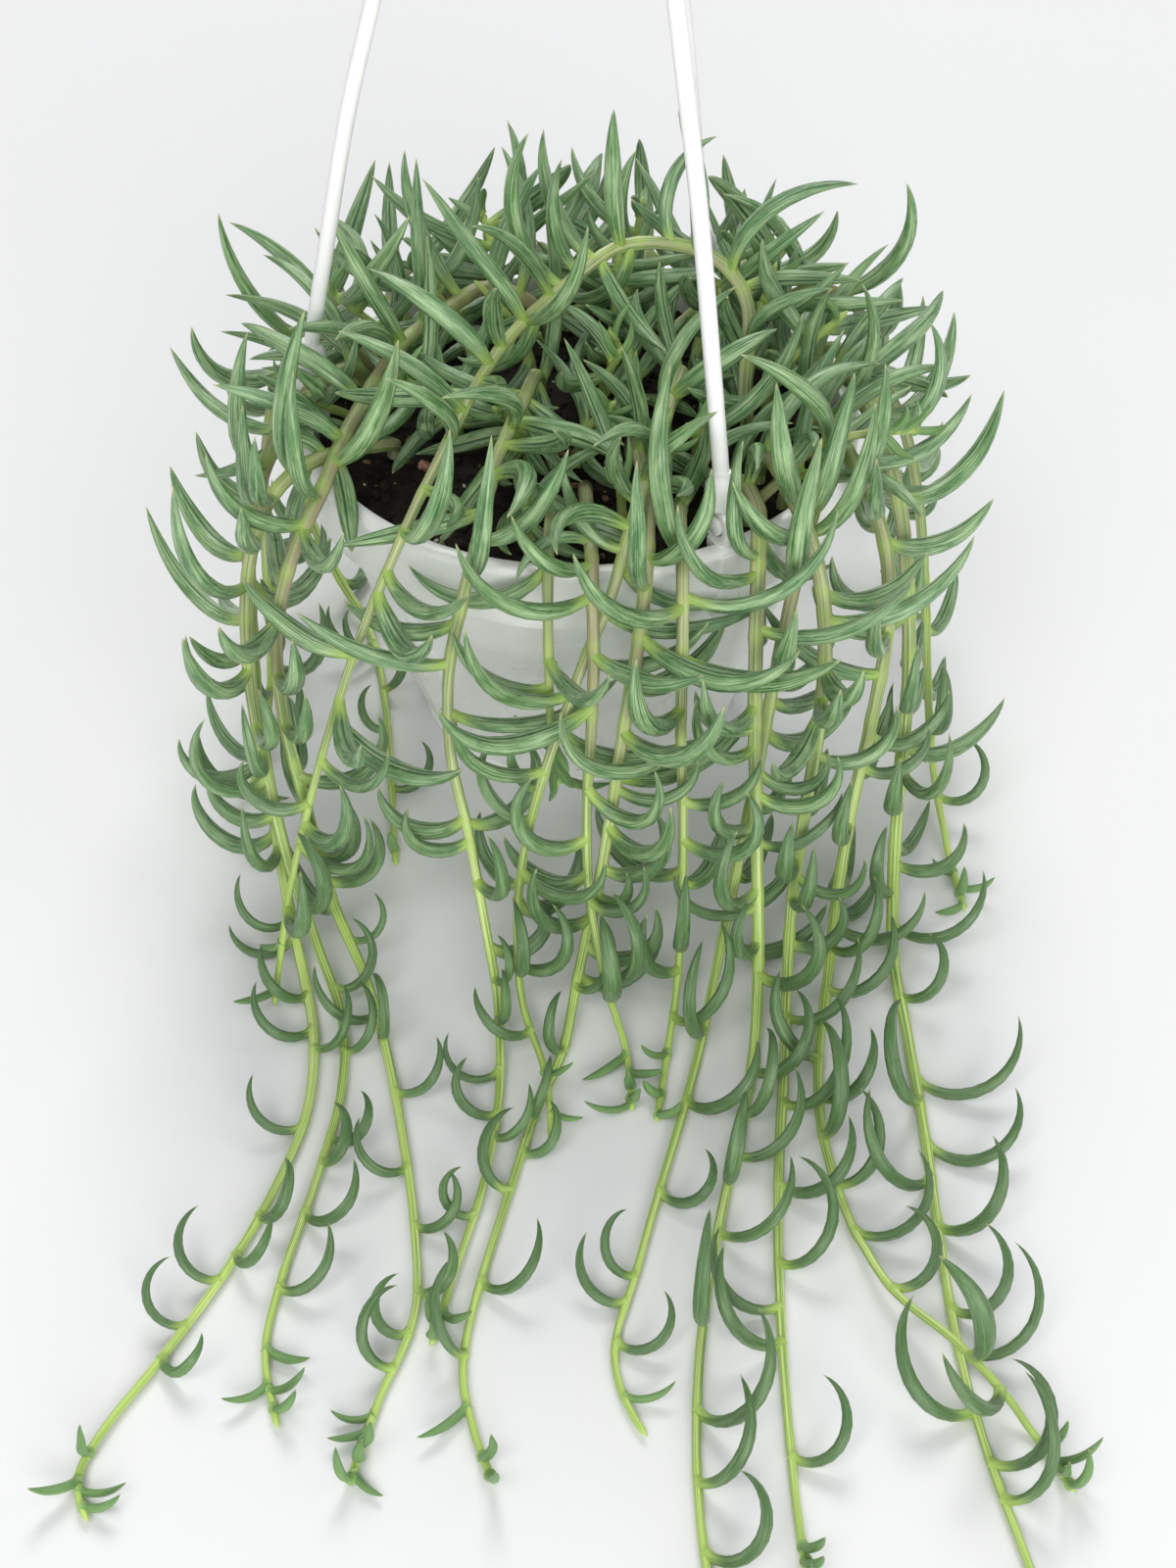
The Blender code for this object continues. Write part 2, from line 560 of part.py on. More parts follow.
def pot_distance(points):
    """Signed distance from points to pot and soil, with the way out in the (radius, height) plane."""
    section = pot_section()
    rho = np.hypot(points[:, 0], points[:, 1])
    flat = np.stack((rho, points[:, 2]), axis=-1)
    best = np.full(len(points), 1e9)
    way = np.zeros((len(points), 2))
    for a, b in zip(section[:-1], section[1:]):
        edge = b - a
        t = np.clip((flat - a) @ edge / (edge @ edge), 0.0, 1.0)
        offset = flat - (a + t[:, None] * edge)
        size = np.linalg.norm(offset, axis=1)
        nearer = size < best
        best[nearer] = size[nearer]
        way[nearer] = offset[nearer] / np.maximum(size[nearer], 1e-6)[:, None]
    outer = np.interp(flat[:, 1], section[1:6, 1], section[1:6, 0])
    top = np.interp(rho, section[6:, 0][::-1], section[6:, 1][::-1])
    inside = (flat[:, 1] < top) & (rho < outer) & (flat[:, 1] > 0) & (flat[:, 1] < POT_HEIGHT)
    sign = np.where(inside, -1.0, 1.0)
    return best * sign, way * sign[:, None], rho


def stub_path():
    """The dry stub's middle line, from inside its hole to its broken end."""
    x, y = STUB_PLACE
    top = soil_height(x, y)
    return [np.array((x, y, top - HOLE_DEPTH + 1.0)), np.array((x, y, top + 1.0)),
            np.array((x + STUB_LEAN[0] * 0.5, y + STUB_LEAN[1] * 0.5, top + STUB_HEIGHT * 0.6)),
            np.array((x + STUB_LEAN[0], y + STUB_LEAN[1], top + STUB_HEIGHT))]


def fixed_capsules():
    """The arms, ears and stub, which the plant keeps clear of, as rows of (start, end, radius)."""
    stub = stub_path()
    rows = [(a, b, STUB_RADIUS) for a, b in zip(stub[1:], stub[2:])]
    for degrees in LUG_ANGLES:
        path = [polar(radius, degrees, z) for radius, z in ARM_PROFILE]
        for a, b in zip(path, path[1:]):
            rows.append((a, b, ARM_RADIUS + 0.3))
        ear = polar(EAR_CIRCLE_RADIUS, degrees, EAR_CENTRE_Z)
        rows.append((ear - (0, 0, 3), ear + (0, 0, 9), EAR_RADIUS + 1.0))
    return rows


def nearest_on_segment(points, a, b):
    edge = b - a
    t = np.clip((points - a) @ edge / (edge @ edge), 0.0, 1.0)
    return a + t[:, None] * edge


def part_stems(plan, rounds=90):
    """Bends crossing stems clear of each other, of the pot, of the hanger and of the surface."""
    routes = [entry[1] for entry in plan]
    first = np.concatenate(routes)
    owner = np.concatenate([np.full(len(route), i) for i, route in enumerate(routes)])
    pinned = np.concatenate([np.arange(len(route)) < 3 for route in routes])
    starts = np.cumsum([0] + [len(route) for route in routes])
    points = first.copy()
    fixed = fixed_capsules()
    for turn in range(rounds):
        offset = points[:, None, :] - points[None, :, :]
        size = np.linalg.norm(offset, axis=2)
        close = (size < STEM_SPACING) & (owner[:, None] != owner[None, :])
        push = np.where(close, (STEM_SPACING - size) / 2, 0.0)
        move = (offset / np.maximum(size, 1e-3)[:, :, None] * push[:, :, None]).sum(axis=1)
        count = np.maximum(close.sum(axis=1), 1)[:, None]
        points = points + PUSH_GAIN * move / count
        points[pinned] = first[pinned]
        shift = points - first
        weight = SMOOTH_EARLY if turn < rounds * EARLY_SHARE else SMOOTH_LATE
        for s, e in zip(starts[:-1], starts[1:]):
            mean = (shift[s:e - 2] + shift[s + 2:e]) / 2
            shift[s + 1:e - 1] += weight * (mean - shift[s + 1:e - 1])
        points = first + shift
        distance, way, rho = pot_distance(points)
        short = np.maximum(STEM_RADIUS + POT_CLEARANCE - distance, 0.0)
        short[pinned] = 0.0
        radial = points[:, :2] / np.maximum(rho, 1e-6)[:, None]
        points[:, :2] += radial * (way[:, 0] * short)[:, None]
        points[:, 2] += way[:, 1] * short
        for a, b, radius in fixed:
            near = nearest_on_segment(points, a, b)
            gap = points - near
            size = np.linalg.norm(gap, axis=1)
            need = np.maximum(radius + STEM_RADIUS + HANGER_CLEARANCE - size, 0.0)
            need[pinned] = 0.0
            points += gap / np.maximum(size, 1e-3)[:, None] * need[:, None]
        floor = STEM_RADIUS + FLOOR_GAP
        points[:, 2] = np.maximum(points[:, 2], floor)
    for i, entry in enumerate(plan):
        entry[1] = points[starts[i]:starts[i + 1]]


def stem_radii(route, radius):
    """The stem's radius along its route: even, then thinner over the last part."""
    run = np.concatenate(([0.0], np.cumsum(np.linalg.norm(np.diff(route, axis=0), axis=1))))
    left = run[-1] - run
    taper = np.clip(left / min(TAPER_LENGTH, run[-1]), 0.0, 1.0) ** TAPER_POWER
    return STEM_TIP_RADIUS + (radius - STEM_TIP_RADIUS) * taper


def settle(route, radii):
    """Lowers a stem's thinner end so that it still lies on the surface."""
    lying = route[:, 2] < STEM_RADIUS + 1.2
    settled = route.copy()
    settled[lying, 2] -= STEM_RADIUS - radii[lying]
    settled[:, 2] = np.maximum(settled[:, 2], radii + FLOOR_GAP)
    return settled


# Leaves

def segment_gap(a0, a1, b0, b1):
    """Shortest distances between every segment of one set and every segment of another."""
    d1 = (a1 - a0)[:, None, :]
    d2 = (b1 - b0)[None, :, :]
    r = a0[:, None, :] - b0[None, :, :]
    a = (d1 * d1).sum(-1)
    e = (d2 * d2).sum(-1)
    f = (d2 * r).sum(-1)
    c = (d1 * r).sum(-1)
    b = (d1 * d2).sum(-1)
    denom = np.maximum(a * e - b * b, 1e-9)
    s = np.clip((b * f - c * e) / denom, 0.0, 1.0)
    t = np.clip((b * s + f) / np.maximum(e, 1e-9), 0.0, 1.0)
    s = np.clip((b * t - c) / np.maximum(a, 1e-9), 0.0, 1.0)
    gap = r + d1 * s[:, :, None] - d2 * t[:, :, None]
    return np.sqrt((gap * gap).sum(-1))


def leaf_width(s, half_width):
    """Half the leaf's width at s from root (0) to tip (1)."""
    if s < LEAF_WIDEST_AT:
        t = s / LEAF_WIDEST_AT
        return LEAF_ROOT_RADIUS + (half_width - LEAF_ROOT_RADIUS) * (1.0 - (1.0 - t) ** 2.2)
    t = (s - LEAF_WIDEST_AT) / (1.0 - LEAF_WIDEST_AT)
    return half_width * max(0.0, 1.0 - t ** 2.0) ** 0.85


def leaf_angle(size, s):
    """How far the leaf has turned from its heading towards its hook at s."""
    _, _, start, end, bend = size
    return start + (end - start) * s ** bend


def leaf_axis(base, heading, hook, size, s):
    """The point at s on a leaf that leaves its stem along heading and bends towards hook."""
    steps = 24
    point = np.array(base, float)
    for i in range(steps):
        part = min(1.0, max(0.0, s * steps - i))
        angle = leaf_angle(size, (i + 0.5) / steps)
        point = point + (heading * math.cos(angle) + hook * math.sin(angle)) * (size[0] / steps * part)
    return point


def zone_of(name, point, tip_left):
    """Which kind of leaf grows here: crown, arching, shoulder, hanging, lying or young tip."""
    if tip_left < (SHOOT_TIP_LENGTH if name in CROWN_SHOOTS else TIP_LENGTH):
        return "tip"
    if point[2] < LYING_BELOW:
        return "lying"
    if point[2] > SOIL_TOP_Z - 2.0 and math.hypot(point[0], point[1]) < RIM_RADIUS - 1.0:
        return "crown" if name in CROWN_SHOOTS else "arching"
    if point[2] > SHOULDER_ABOVE:
        return "shoulder"
    return "hanging"


# For each zone: leaf length, half width, first and last angle of its bend in degrees, and how
# early it bends (under 1 most of the bend is near the root)
LEAF_KINDS = {
    "crown": ((34.0, 49.0), (2.2, 2.9), (-35.0, 10.0), (20.0, 85.0), (0.4, 1.0)),
    "arching": ((36.0, 51.0), (2.3, 3.0), (-30.0, 5.0), (35.0, 100.0), (0.5, 1.0)),
    "shoulder": ((36.0, 54.0), (2.4, 3.3), (-35.0, -5.0), (45.0, 105.0), (0.5, 1.1)),
    "hanging": ((28.0, 41.0), (2.0, 2.8), (-45.0, -20.0), (95.0, 150.0), (0.7, 1.1)),
    "lying": ((20.0, 30.0), (1.35, 1.75), (-50.0, -20.0), (105.0, 165.0), (0.7, 1.1)),
    "tip": ((9.0, 16.0), (1.1, 1.5), (-10.0, 5.0), (30.0, 85.0), (0.8, 1.0)),
}
# How far the leaves lean along their stem
LEAF_LEAN = {"crown": 0.0, "arching": 0.2, "shoulder": 0.25, "hanging": 0.2, "lying": 0.25, "tip": 0.9}


def leaf_directions(point, tangent, zone, azimuth, sway):
    """Heading and hook directions of a leaf at an azimuth round its stem."""
    up = np.array((0.0, 0.0, 1.0))
    rho = max(math.hypot(point[0], point[1]), 1e-6)
    outward = np.array((point[0] / rho, point[1] / rho, 0.0))
    if zone in ("lying", "tip") and point[2] < LYING_BELOW:
        first = np.cross(tangent, up)
        wish = up * LYING_RISE - tangent
    elif zone in ("crown", "arching"):
        first = outward
        wish = up * CROWN_RISE + outward * CROWN_SPREAD * (rho / RIM_RADIUS) + np.cross(outward, up) * sway
    else:
        first = outward
        wish = up * HANG_RISE - tangent * HANG_BACK + outward * HANG_SPREAD
    first = first - tangent * first.dot(tangent)
    if np.linalg.norm(first) < 0.15:
        first = up - tangent * up.dot(tangent)
    first /= np.linalg.norm(first)
    second = np.cross(first, tangent)
    if second[2] < 0 and zone in ("lying", "tip"):
        second = -second
    heading = first * math.cos(azimuth) + second * math.sin(azimuth)
    heading = heading + tangent * LEAF_LEAN[zone]
    heading /= np.linalg.norm(heading)
    hook = wish - heading * wish.dot(heading)
    if np.linalg.norm(hook) < 0.2:
        hook = up - heading * up.dot(heading)
    hook /= np.linalg.norm(hook)
    return heading, hook


def azimuth_choices(zone, index, out_x, rng):
    """The azimuths to try for a leaf, best first."""
    side = 1 if index % 2 else -1
    if zone == "lying":
        base = rng.uniform(10.0, 42.0)
        if out_x > ONE_SIDED_X:
            side = -1 if rng.random() < ONE_SIDED_SHARE else 1
        base = base if side > 0 else 180.0 - base
        spread = (0, 18, 36, -4, 55)
        swap = 180.0 - base
    elif zone in ("arching", "shoulder", "hanging"):
        base = side * rng.uniform(45.0, 110.0)
        spread = (0, 20, -20, 40, -40)
        swap = -base
    else:
        base = index * 137.5 + rng.uniform(-20.0, 20.0)
        spread = (0, 25, -25, 55, -55)
        swap = base + 180.0
    tries = [base + step * side for step in spread] + [swap + step * side for step in spread]
    return [math.radians(value) for value in tries]


class Thicket:
    """The solids that a new leaf has to keep clear of, as capsules."""

    def __init__(self):
        self.rows = []
        self.packed = None

    def add(self, start, end, radius, owner, place):
        self.rows.append((start, end, radius, owner, place))
        self.packed = None

    def arrays(self):
        if self.packed is None:
            self.packed = (np.array([row[0] for row in self.rows]), np.array([row[1] for row in self.rows]),
                           np.array([row[2] for row in self.rows]), np.array([row[3] for row in self.rows]),
                           np.array([row[4] for row in self.rows]))
        return self.packed

    def clear(self, path, radii, owner, place):
        """True if a leaf, rooted at a place along its own stem, meets nothing."""
        distance, _, _ = pot_distance(path)
        if (distance - radii - LEAF_CLEARANCE).min() < 0.0:
            return False
        if (path[2:, 2] - radii[2:]).min() < FLOOR_GAP or (path[1, 2] - radii[1]) < FLOOR_GAP:
            return False
        starts, ends, sizes, owners, places = self.arrays()
        middle = path.mean(axis=0)
        reach = np.linalg.norm(path - middle, axis=1).max() + 26.0
        near = np.linalg.norm((starts + ends) / 2 - middle, axis=1) < reach
        near &= ~((owners == owner) & (np.abs(places - place) < OWN_REACH))
        if not near.any():
            return True
        gap = segment_gap(path[:-1], path[1:], starts[near], ends[near])
        thick = np.maximum(radii[:-1], radii[1:])[:, None] + sizes[near][None, :]
        margin = np.where(owners[near] == owner, OWN_CLEARANCE, LEAF_CLEARANCE)
        return bool((gap - thick - margin[None, :]).min() > 0.0)


def leaf_marks(name, route):
    """Distances along a stem where leaves stand, closer in the crown and towards its young tip."""
    run = np.concatenate(([0.0], np.cumsum(np.linalg.norm(np.diff(route, axis=0), axis=1))))
    marks = []
    at = HOLE_DEPTH + 5.0
    while at < run[-1] - 1.5:
        point = np.array([np.interp(at, run, route[:, k]) for k in range(3)])
        zone = zone_of(name, point, run[-1] - at)
        step = LEAF_STEPS.get(zone, LEAF_SPACING)
        marks.append((at, step))
        at += step
    return run, marks


def settled_plant():
    """The stems' plan, clear of each other and settled, and the thicket that leaves grow in."""
    plan = stem_plan()
    part_stems(plan)
    thicket = Thicket()
    for a, b, radius in fixed_capsules():
        thicket.add(a, b, radius, -1, 0.0)
    thicket.add(np.array(BARE_LINE[0]), np.array(BARE_LINE[1]), BARE_RADIUS, -1, 0.0)
    for owner, entry in enumerate(plan):
        radii = stem_radii(entry[1], entry[2])
        route = entry[1] = settle(entry[1], radii)
        run = np.concatenate(([0.0], np.cumsum(np.linalg.norm(np.diff(route, axis=0), axis=1))))
        for k in range(len(run) - 1):
            place = (run[k] + run[k + 1]) / 2
            thicket.add(route[k], route[k + 1], radii[k] + 0.4, owner, place)
            if entry[0] in TOP_STEMS and route[k][2] > POT_HEIGHT:
                thicket.add(route[k] + TOP_SPACE, route[k + 1] + TOP_SPACE, TOP_RADIUS, owner, place)
    return plan, thicket


def grow_leaves(plan, thicket, offset, seed):
    """Places leaves on every stem; returns (owner, base, heading, hook, sizes) for each."""
    grown = []
    for owner, (name, route, _) in enumerate(plan):
        rng = random.Random(seed + owner)
        run, marks = leaf_marks(name, route)
        tangents = [frame[0] for frame in ring_frames(route)]
        for index, (mark, step) in enumerate(marks):
            mark = mark + (offset + rng.uniform(-0.15, 0.15)) * step
            if mark > run[-1] - 1.0:
                continue
            base = np.array([np.interp(mark, run, route[:, k]) for k in range(3)])
            tangent = np.array([np.interp(mark, run, [t[k] for t in tangents]) for k in range(3)])
            tangent /= np.linalg.norm(tangent)
            zone = zone_of(name, base, run[-1] - mark)
            length, half_width, start, end, bend = [rng.uniform(*limits) for limits in LEAF_KINDS[zone]]
            sway = rng.uniform(-CROWN_SWAY, CROWN_SWAY)
            if zone == "lying" and base[0] > ONE_SIDED_X:
                length *= RIGHT_GROWTH
                half_width *= math.sqrt(RIGHT_GROWTH)
            tries = azimuth_choices(zone, index, base[0], rng)
            for attempt in range(LEAF_TRIES):
                azimuth = tries[attempt % len(tries)]
                scale = 1.0 - 0.2 * (attempt // len(tries))
                heading, hook = leaf_directions(base, tangent, zone, azimuth, sway)
                size = (length * scale, half_width * (0.5 + 0.5 * scale),
                        math.radians(start), math.radians(end), bend)
                places = [i / LEAF_CAPSULES for i in range(LEAF_CAPSULES + 1)]
                path = np.array([leaf_axis(base, heading, hook, size, s) for s in places])
                radii = np.array([leaf_width(s, size[1]) for s in places])
                if thicket.clear(path[1:], radii[1:], owner, mark):
                    for k in range(1, LEAF_CAPSULES):
                        thicket.add(path[k], path[k + 1], max(radii[k], radii[k + 1]), owner, -1000.0)
                    grown.append((owner, base, heading, hook, size))
                    break
    return grown


def nearest_on_path(point, path, radii):
    """The point of a stem's middle line that is nearest to a leaf's base, and the stem's radius there."""
    spots = [nearest_on_segment(point[None, :], a, b)[0] for a, b in zip(path, path[1:])]
    nearest = min(range(len(spots)), key=lambda k: np.linalg.norm(spots[k] - point))
    return spots[nearest], min(radii[nearest], radii[nearest + 1])


def leaf_mesh(base, heading, hook, size, stem_path, stem_sizes):
    """One leaf: a bent, slightly flattened spindle with its root inside the stem."""
    rings = HOOKED_RINGS if size[3] - size[2] > math.radians(STRAIGHT_TURN) else STRAIGHT_RINGS
    if size[0] < YOUNG_LENGTH:
        rings = YOUNG_RINGS
    path = [leaf_axis(base, heading, hook, size, s) for s in rings]
    path[0], stem_radius = nearest_on_path(base, stem_path, stem_sizes)
    across = np.cross(heading, hook)
    frames = []
    for s in rings:
        angle = leaf_angle(size, s)
        along = heading * math.cos(angle) + hook * math.sin(angle)
        frames.append((along, across, np.cross(along, across)))
    path.append(leaf_axis(base, heading, hook, size, 1.0))
    radii = [leaf_width(s, size[1]) for s in rings]
    radii[0] = min(radii[0], stem_radius * ROOT_SHARE)
    return tube("leaf", path, radii, LEAF_SIDES, flat=LEAF_FLATNESS, pointed=True, frames=frames)


def coarse_route(route, radii):
    """Fewer points for the solid: at the hole's ends, at bends and at least every so often."""
    keep = [0, 2]
    run = 0.0
    for i in range(3, len(route) - 1):
        run += np.linalg.norm(route[i] - route[i - 1])
        before = route[keep[-1] + 1] - route[keep[-1]]
        after = route[i + 1] - route[i]
        cosine = before.dot(after) / (np.linalg.norm(before) * np.linalg.norm(after))
        if run > STEM_MAX_STEP or math.degrees(math.acos(max(-1.0, min(1.0, cosine)))) > STEM_MAX_TURN:
            keep.append(i)
            run = 0.0
    keep.append(len(route) - 1)
    return route[keep], radii[keep]


def make_soil(plan, material):
    """The soil, with a plain hole for every stem that stands in it."""
    inner = inner_profile(GAP)
    step = POT_HEIGHT - COLLAR_HEIGHT + 1.0
    slope = MOUTH_TAPER / (POT_HEIGHT - 0.8 - step)
    foot = MOUTH_RADIUS - MOUTH_TAPER - GAP
    profile = [(0.0, WALL + GAP), inner[0], inner[1], (foot - 0.3, step + 0.6),
               (foot + slope * (SOIL_TOP_Z - step), SOIL_TOP_Z),
               (MOUTH_RADIUS / 2, SOIL_TOP_Z + SOIL_DOME * 0.75), (0.0, SOIL_TOP_Z + SOIL_DOME)]
    soil = turned("soil", profile, SOIL_SIDES, material)
    cutters = []
    widest = 1.0 / math.cos(math.pi / HOLE_SIDES)
    feet = [(route[0][0], route[0][1], radius) for _, route, radius in plan]
    feet.append((STUB_PLACE[0], STUB_PLACE[1], STUB_RADIUS))
    for x, y, radius in feet:
        top = soil_height(x, y)
        ends = [np.array((x, y, top - HOLE_DEPTH)), np.array((x, y, top + 6.0))]
        cutters.append(tube("hole", ends, [(radius + HOLE_CLEARANCE) * widest] * 2, HOLE_SIDES))
    boolean_with(soil, cutters, "DIFFERENCE")
    shade(soil)
    return soil


def make_stub(material):
    """The dry end of an old stem, standing in the soil."""
    radii = [STUB_RADIUS] * 3 + [STUB_RADIUS * 0.7]
    stub = tube("dry_stub", stub_path(), radii, 5, material)
    shade(stub, 60.0)
    return stub


def make_plant(material):
    """Every stem with its leaves fused on, and the plan that the soil's holes follow."""
    plan, thicket = settled_plant()
    leaves = grow_leaves(plan, thicket, 0.0, LEAF_SEED)
    for owner, (name, route, radius) in enumerate(plan):
        path, radii = coarse_route(route, stem_radii(route, radius))
        stem = tube(name, path, radii, STEM_SIDES, material, spin=math.pi / 4)
        own = [leaf_mesh(*leaf[1:], path, radii) for leaf in leaves if leaf[0] == owner]
        if own:
            boolean_with(stem, own, "UNION")
            keep_outer_skin(stem)
        stem.data.materials.clear()
        stem.data.materials.append(material)
        shade(stem, 60.0)
    return plan


def main():
    for thing in list(bpy.data.objects):
        bpy.data.objects.remove(thing)
    pot_plastic = make_material("pot_plastic", (0.86, 0.86, 0.84), 0.25)
    hanger_plastic = make_material("hanger_plastic", (0.9, 0.9, 0.89), 0.3)
    soil_material = make_material("soil", (0.05, 0.035, 0.028), 0.95)
    plant_material = make_material("plant", (0.13, 0.28, 0.13), 0.5)
    stub_material = make_material("dry_stub", (0.42, 0.24, 0.18), 0.8)
    make_pot(pot_plastic)
    for name, degrees in zip(("hanger_arm_left", "hanger_arm_front", "hanger_arm_back"), LUG_ANGLES):
        make_arm(name, degrees, hanger_plastic)
    make_hook(hanger_plastic)
    plan = make_plant(plant_material)
    make_soil(plan, soil_material)
    make_stub(stub_material)


main()
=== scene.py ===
# Potted string of fishhooks: fine surfaces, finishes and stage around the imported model.
# Sizes in the code are in millimetres unless a property says otherwise; the frame is in metres.

import functools
import json
import math
import random

import bmesh
import bpy
import numpy as np
from bpy.props import FloatProperty, FloatVectorProperty, IntProperty, PointerProperty
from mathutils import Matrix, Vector

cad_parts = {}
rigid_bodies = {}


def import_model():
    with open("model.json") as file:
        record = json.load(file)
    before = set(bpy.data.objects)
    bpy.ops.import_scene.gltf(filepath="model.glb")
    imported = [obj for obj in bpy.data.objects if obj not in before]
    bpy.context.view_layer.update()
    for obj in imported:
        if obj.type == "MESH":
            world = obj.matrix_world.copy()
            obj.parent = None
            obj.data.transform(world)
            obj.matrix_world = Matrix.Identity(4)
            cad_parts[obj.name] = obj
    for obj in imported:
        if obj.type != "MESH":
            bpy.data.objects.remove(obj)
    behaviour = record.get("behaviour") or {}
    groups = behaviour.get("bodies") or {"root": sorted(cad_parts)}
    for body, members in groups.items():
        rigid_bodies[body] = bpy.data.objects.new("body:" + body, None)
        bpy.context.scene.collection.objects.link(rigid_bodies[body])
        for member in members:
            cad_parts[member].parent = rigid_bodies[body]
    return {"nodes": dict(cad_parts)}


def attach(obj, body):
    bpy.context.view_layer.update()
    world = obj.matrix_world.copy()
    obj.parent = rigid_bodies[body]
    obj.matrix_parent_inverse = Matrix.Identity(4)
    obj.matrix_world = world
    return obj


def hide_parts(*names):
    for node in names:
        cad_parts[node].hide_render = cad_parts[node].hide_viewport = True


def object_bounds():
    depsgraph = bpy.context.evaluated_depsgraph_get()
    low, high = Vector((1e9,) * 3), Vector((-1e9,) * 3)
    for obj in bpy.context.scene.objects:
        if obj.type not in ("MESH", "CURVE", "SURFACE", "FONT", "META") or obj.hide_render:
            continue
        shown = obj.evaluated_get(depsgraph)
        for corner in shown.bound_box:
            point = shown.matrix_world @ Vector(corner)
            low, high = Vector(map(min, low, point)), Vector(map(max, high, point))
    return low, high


bl_info = {
    "name": "Potted String of Fishhooks",
    "version": (1, 0, 0),
    "blender": (4, 5, 0),
    "location": "3D View > Sidebar > Fishhooks",
    "description": "Builds a trailing string of fishhooks in a white hanging pot, with its stage",
    "category": "Add Mesh",
}

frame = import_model()
CAD_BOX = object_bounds()
MM = 0.001
BOX_LOW, BOX_HIGH = (np.array(corner) / MM for corner in CAD_BOX)

# Pot
POT_HEIGHT = 100.0
RIM_RADIUS = 80.0
MOUTH_RADIUS = 75.0
COLLAR_HEIGHT = 20.0
COLLAR_FOOT_RADIUS = 78.0
BODY_TOP_RADIUS = 73.0
BASE_RADIUS = 49.0
RIM_ROUND = 2.0
MOUTH_TAPER = 1.0
WALL = 1.8
POT_PANELS = 20
LOWER_TIER_CUT = 1.1     # how deep the lower tier of panels is cut into the wall at the base
LOWER_TIER_RISE = 1.5    # and how far it comes out again
LOWER_TIER_HEIGHT = 46.0  # over this height
COLLAR_WAVE = 0.3        # depth of the collar's soft waves
DRAIN_HOLES = 5
DRAIN_HOLE_RADIUS = 4.0
DRAIN_CIRCLE_RADIUS = 31.0

# Three ears on the rim, one for each arm, with a rib below each on the collar
LUG_ANGLES = (180.0, -60.0, 60.0)
EAR_CIRCLE_RADIUS = 74.5
EAR_CENTRE_Z = 105.0
EAR_RADIUS = 6.0
EAR_THICKNESS = 3.0
EAR_HOLE_RADIUS = 3.0
EAR_FOOT_SIZES = (7.6, 3.6, 4.0)
RIB_WIDTH = 6.0
RIB_DEPTH = 6.0
RIB_PROUD = 1.6
RIB_LENGTH = 22.0

# Hanger
ARM_RADIUS = 2.2
ARM_PROFILE = ((74.5, 117.0), (73.4, 124.0), (67.6, 151.0), (59.6, 187.0), (50.7, 219.0),
               (38.5, 262.0), (24.5, 310.0), (13.0, 346.0), (7.3, 365.0))
SHOULDER_RADIUS = 4.4
TONGUE_WIDTH = 6.0
TONGUE_THICKNESS = 2.2
TONGUE_FOOT_Z = 101.6
BUTTON_RADIUS = 2.6
BOSS_RADIUS = 11.0
BOSS_FOOT_Z = 366.6
BOSS_HEIGHT = 9.0
BOSS_EDGE_HEIGHT = 4.0
BOSS_TOP_RADIUS = 5.0
HOOK_ROD_RADIUS = 2.4
HOOK_RADIUS = 12.0
HOOK_CENTRE_Z = 396.0
HOOK_END_ANGLE = 205.0
HOOK_STEP = 1.6          # between the fine hook's rings

# Soil
SOIL_TOP_Z = 92.0
SOIL_DOME = 2.5
HOLE_DEPTH = 10.0
SOIL_SIDES = 120
SOIL_RINGS = 46          # rings of points over the soil's top
CRUMB_CLEARANCE = 2.6    # from a crumb to the middle of a stem's foot

# Stems
STEM_RADIUS = 2.2
STEM_TIP_RADIUS = 0.9
SHOOT_RADIUS = 1.9
ROUTE_STEP = 6.0
STEM_SPACING = 6.6
TAPER_LENGTH = 330.0     # a stem grows thinner over this last part
TAPER_POWER = 1.15       # over 1, most of it near the start
FLOOR_GAP = 0.05
POT_CLEARANCE = 0.9      # between a stem and the pot
HANGER_CLEARANCE = 1.0   # between a stem and the hanger
PUSH_GAIN = 1.3          # how hard crossing stems push each other apart in a round
SMOOTH_EARLY = 0.35      # how much each push is evened out along a stem in the early rounds
SMOOTH_LATE = 0.1        # and in the late ones
EARLY_SHARE = 0.7        # share of the rounds that are early

# Leaves
LEAF_ROOT_RADIUS = 1.1
LEAF_WIDEST_AT = 0.38    # from the root (0) to the tip (1)
LEAF_FLATNESS = 0.82
LEAF_CLEARANCE = 0.45
OWN_CLEARANCE = 0.3      # between leaves of one stem
OWN_REACH = 9.0          # a leaf may touch its own stem this near its root
LEAF_CAPSULES = 6
LEAF_TRIES = 24
LEAF_SPACING = 25.0      # from leaf to leaf along a stem
LEAF_STEPS = {"crown": 7.5, "arching": 19.0, "tip": 7.0}  # and closer than that in these zones
LEAF_SEED = 7100
TIP_LENGTH = 24.0        # young leaves stand on this last part of a long stem
SHOOT_TIP_LENGTH = 7.0   # and on this last part of a short shoot
LYING_BELOW = 9.0        # height of a stem that lies on the surface, at most
SHOULDER_ABOVE = 55.0    # outside the rim, larger leaves stand above this height
ONE_SIDED_X = 25.0       # right of this, most lying leaves are on the stem's outer side
ONE_SIDED_SHARE = 0.75
RIGHT_GROWTH = 1.45      # the lying leaves there are longer by this factor
CROWN_RISE = 0.15        # how strongly a crown leaf bends up
CROWN_SPREAD = 0.5       # how strongly outwards, at the rim
CROWN_SWAY = 1.1         # and how far its bend may turn sideways
HANG_RISE = 0.75         # how strongly a hanging leaf bends up,
HANG_BACK = 0.6          # back along its stem
HANG_SPREAD = 0.1        # and outwards
LYING_RISE = 0.55        # how steeply a lying leaf bends up, against back along its stem

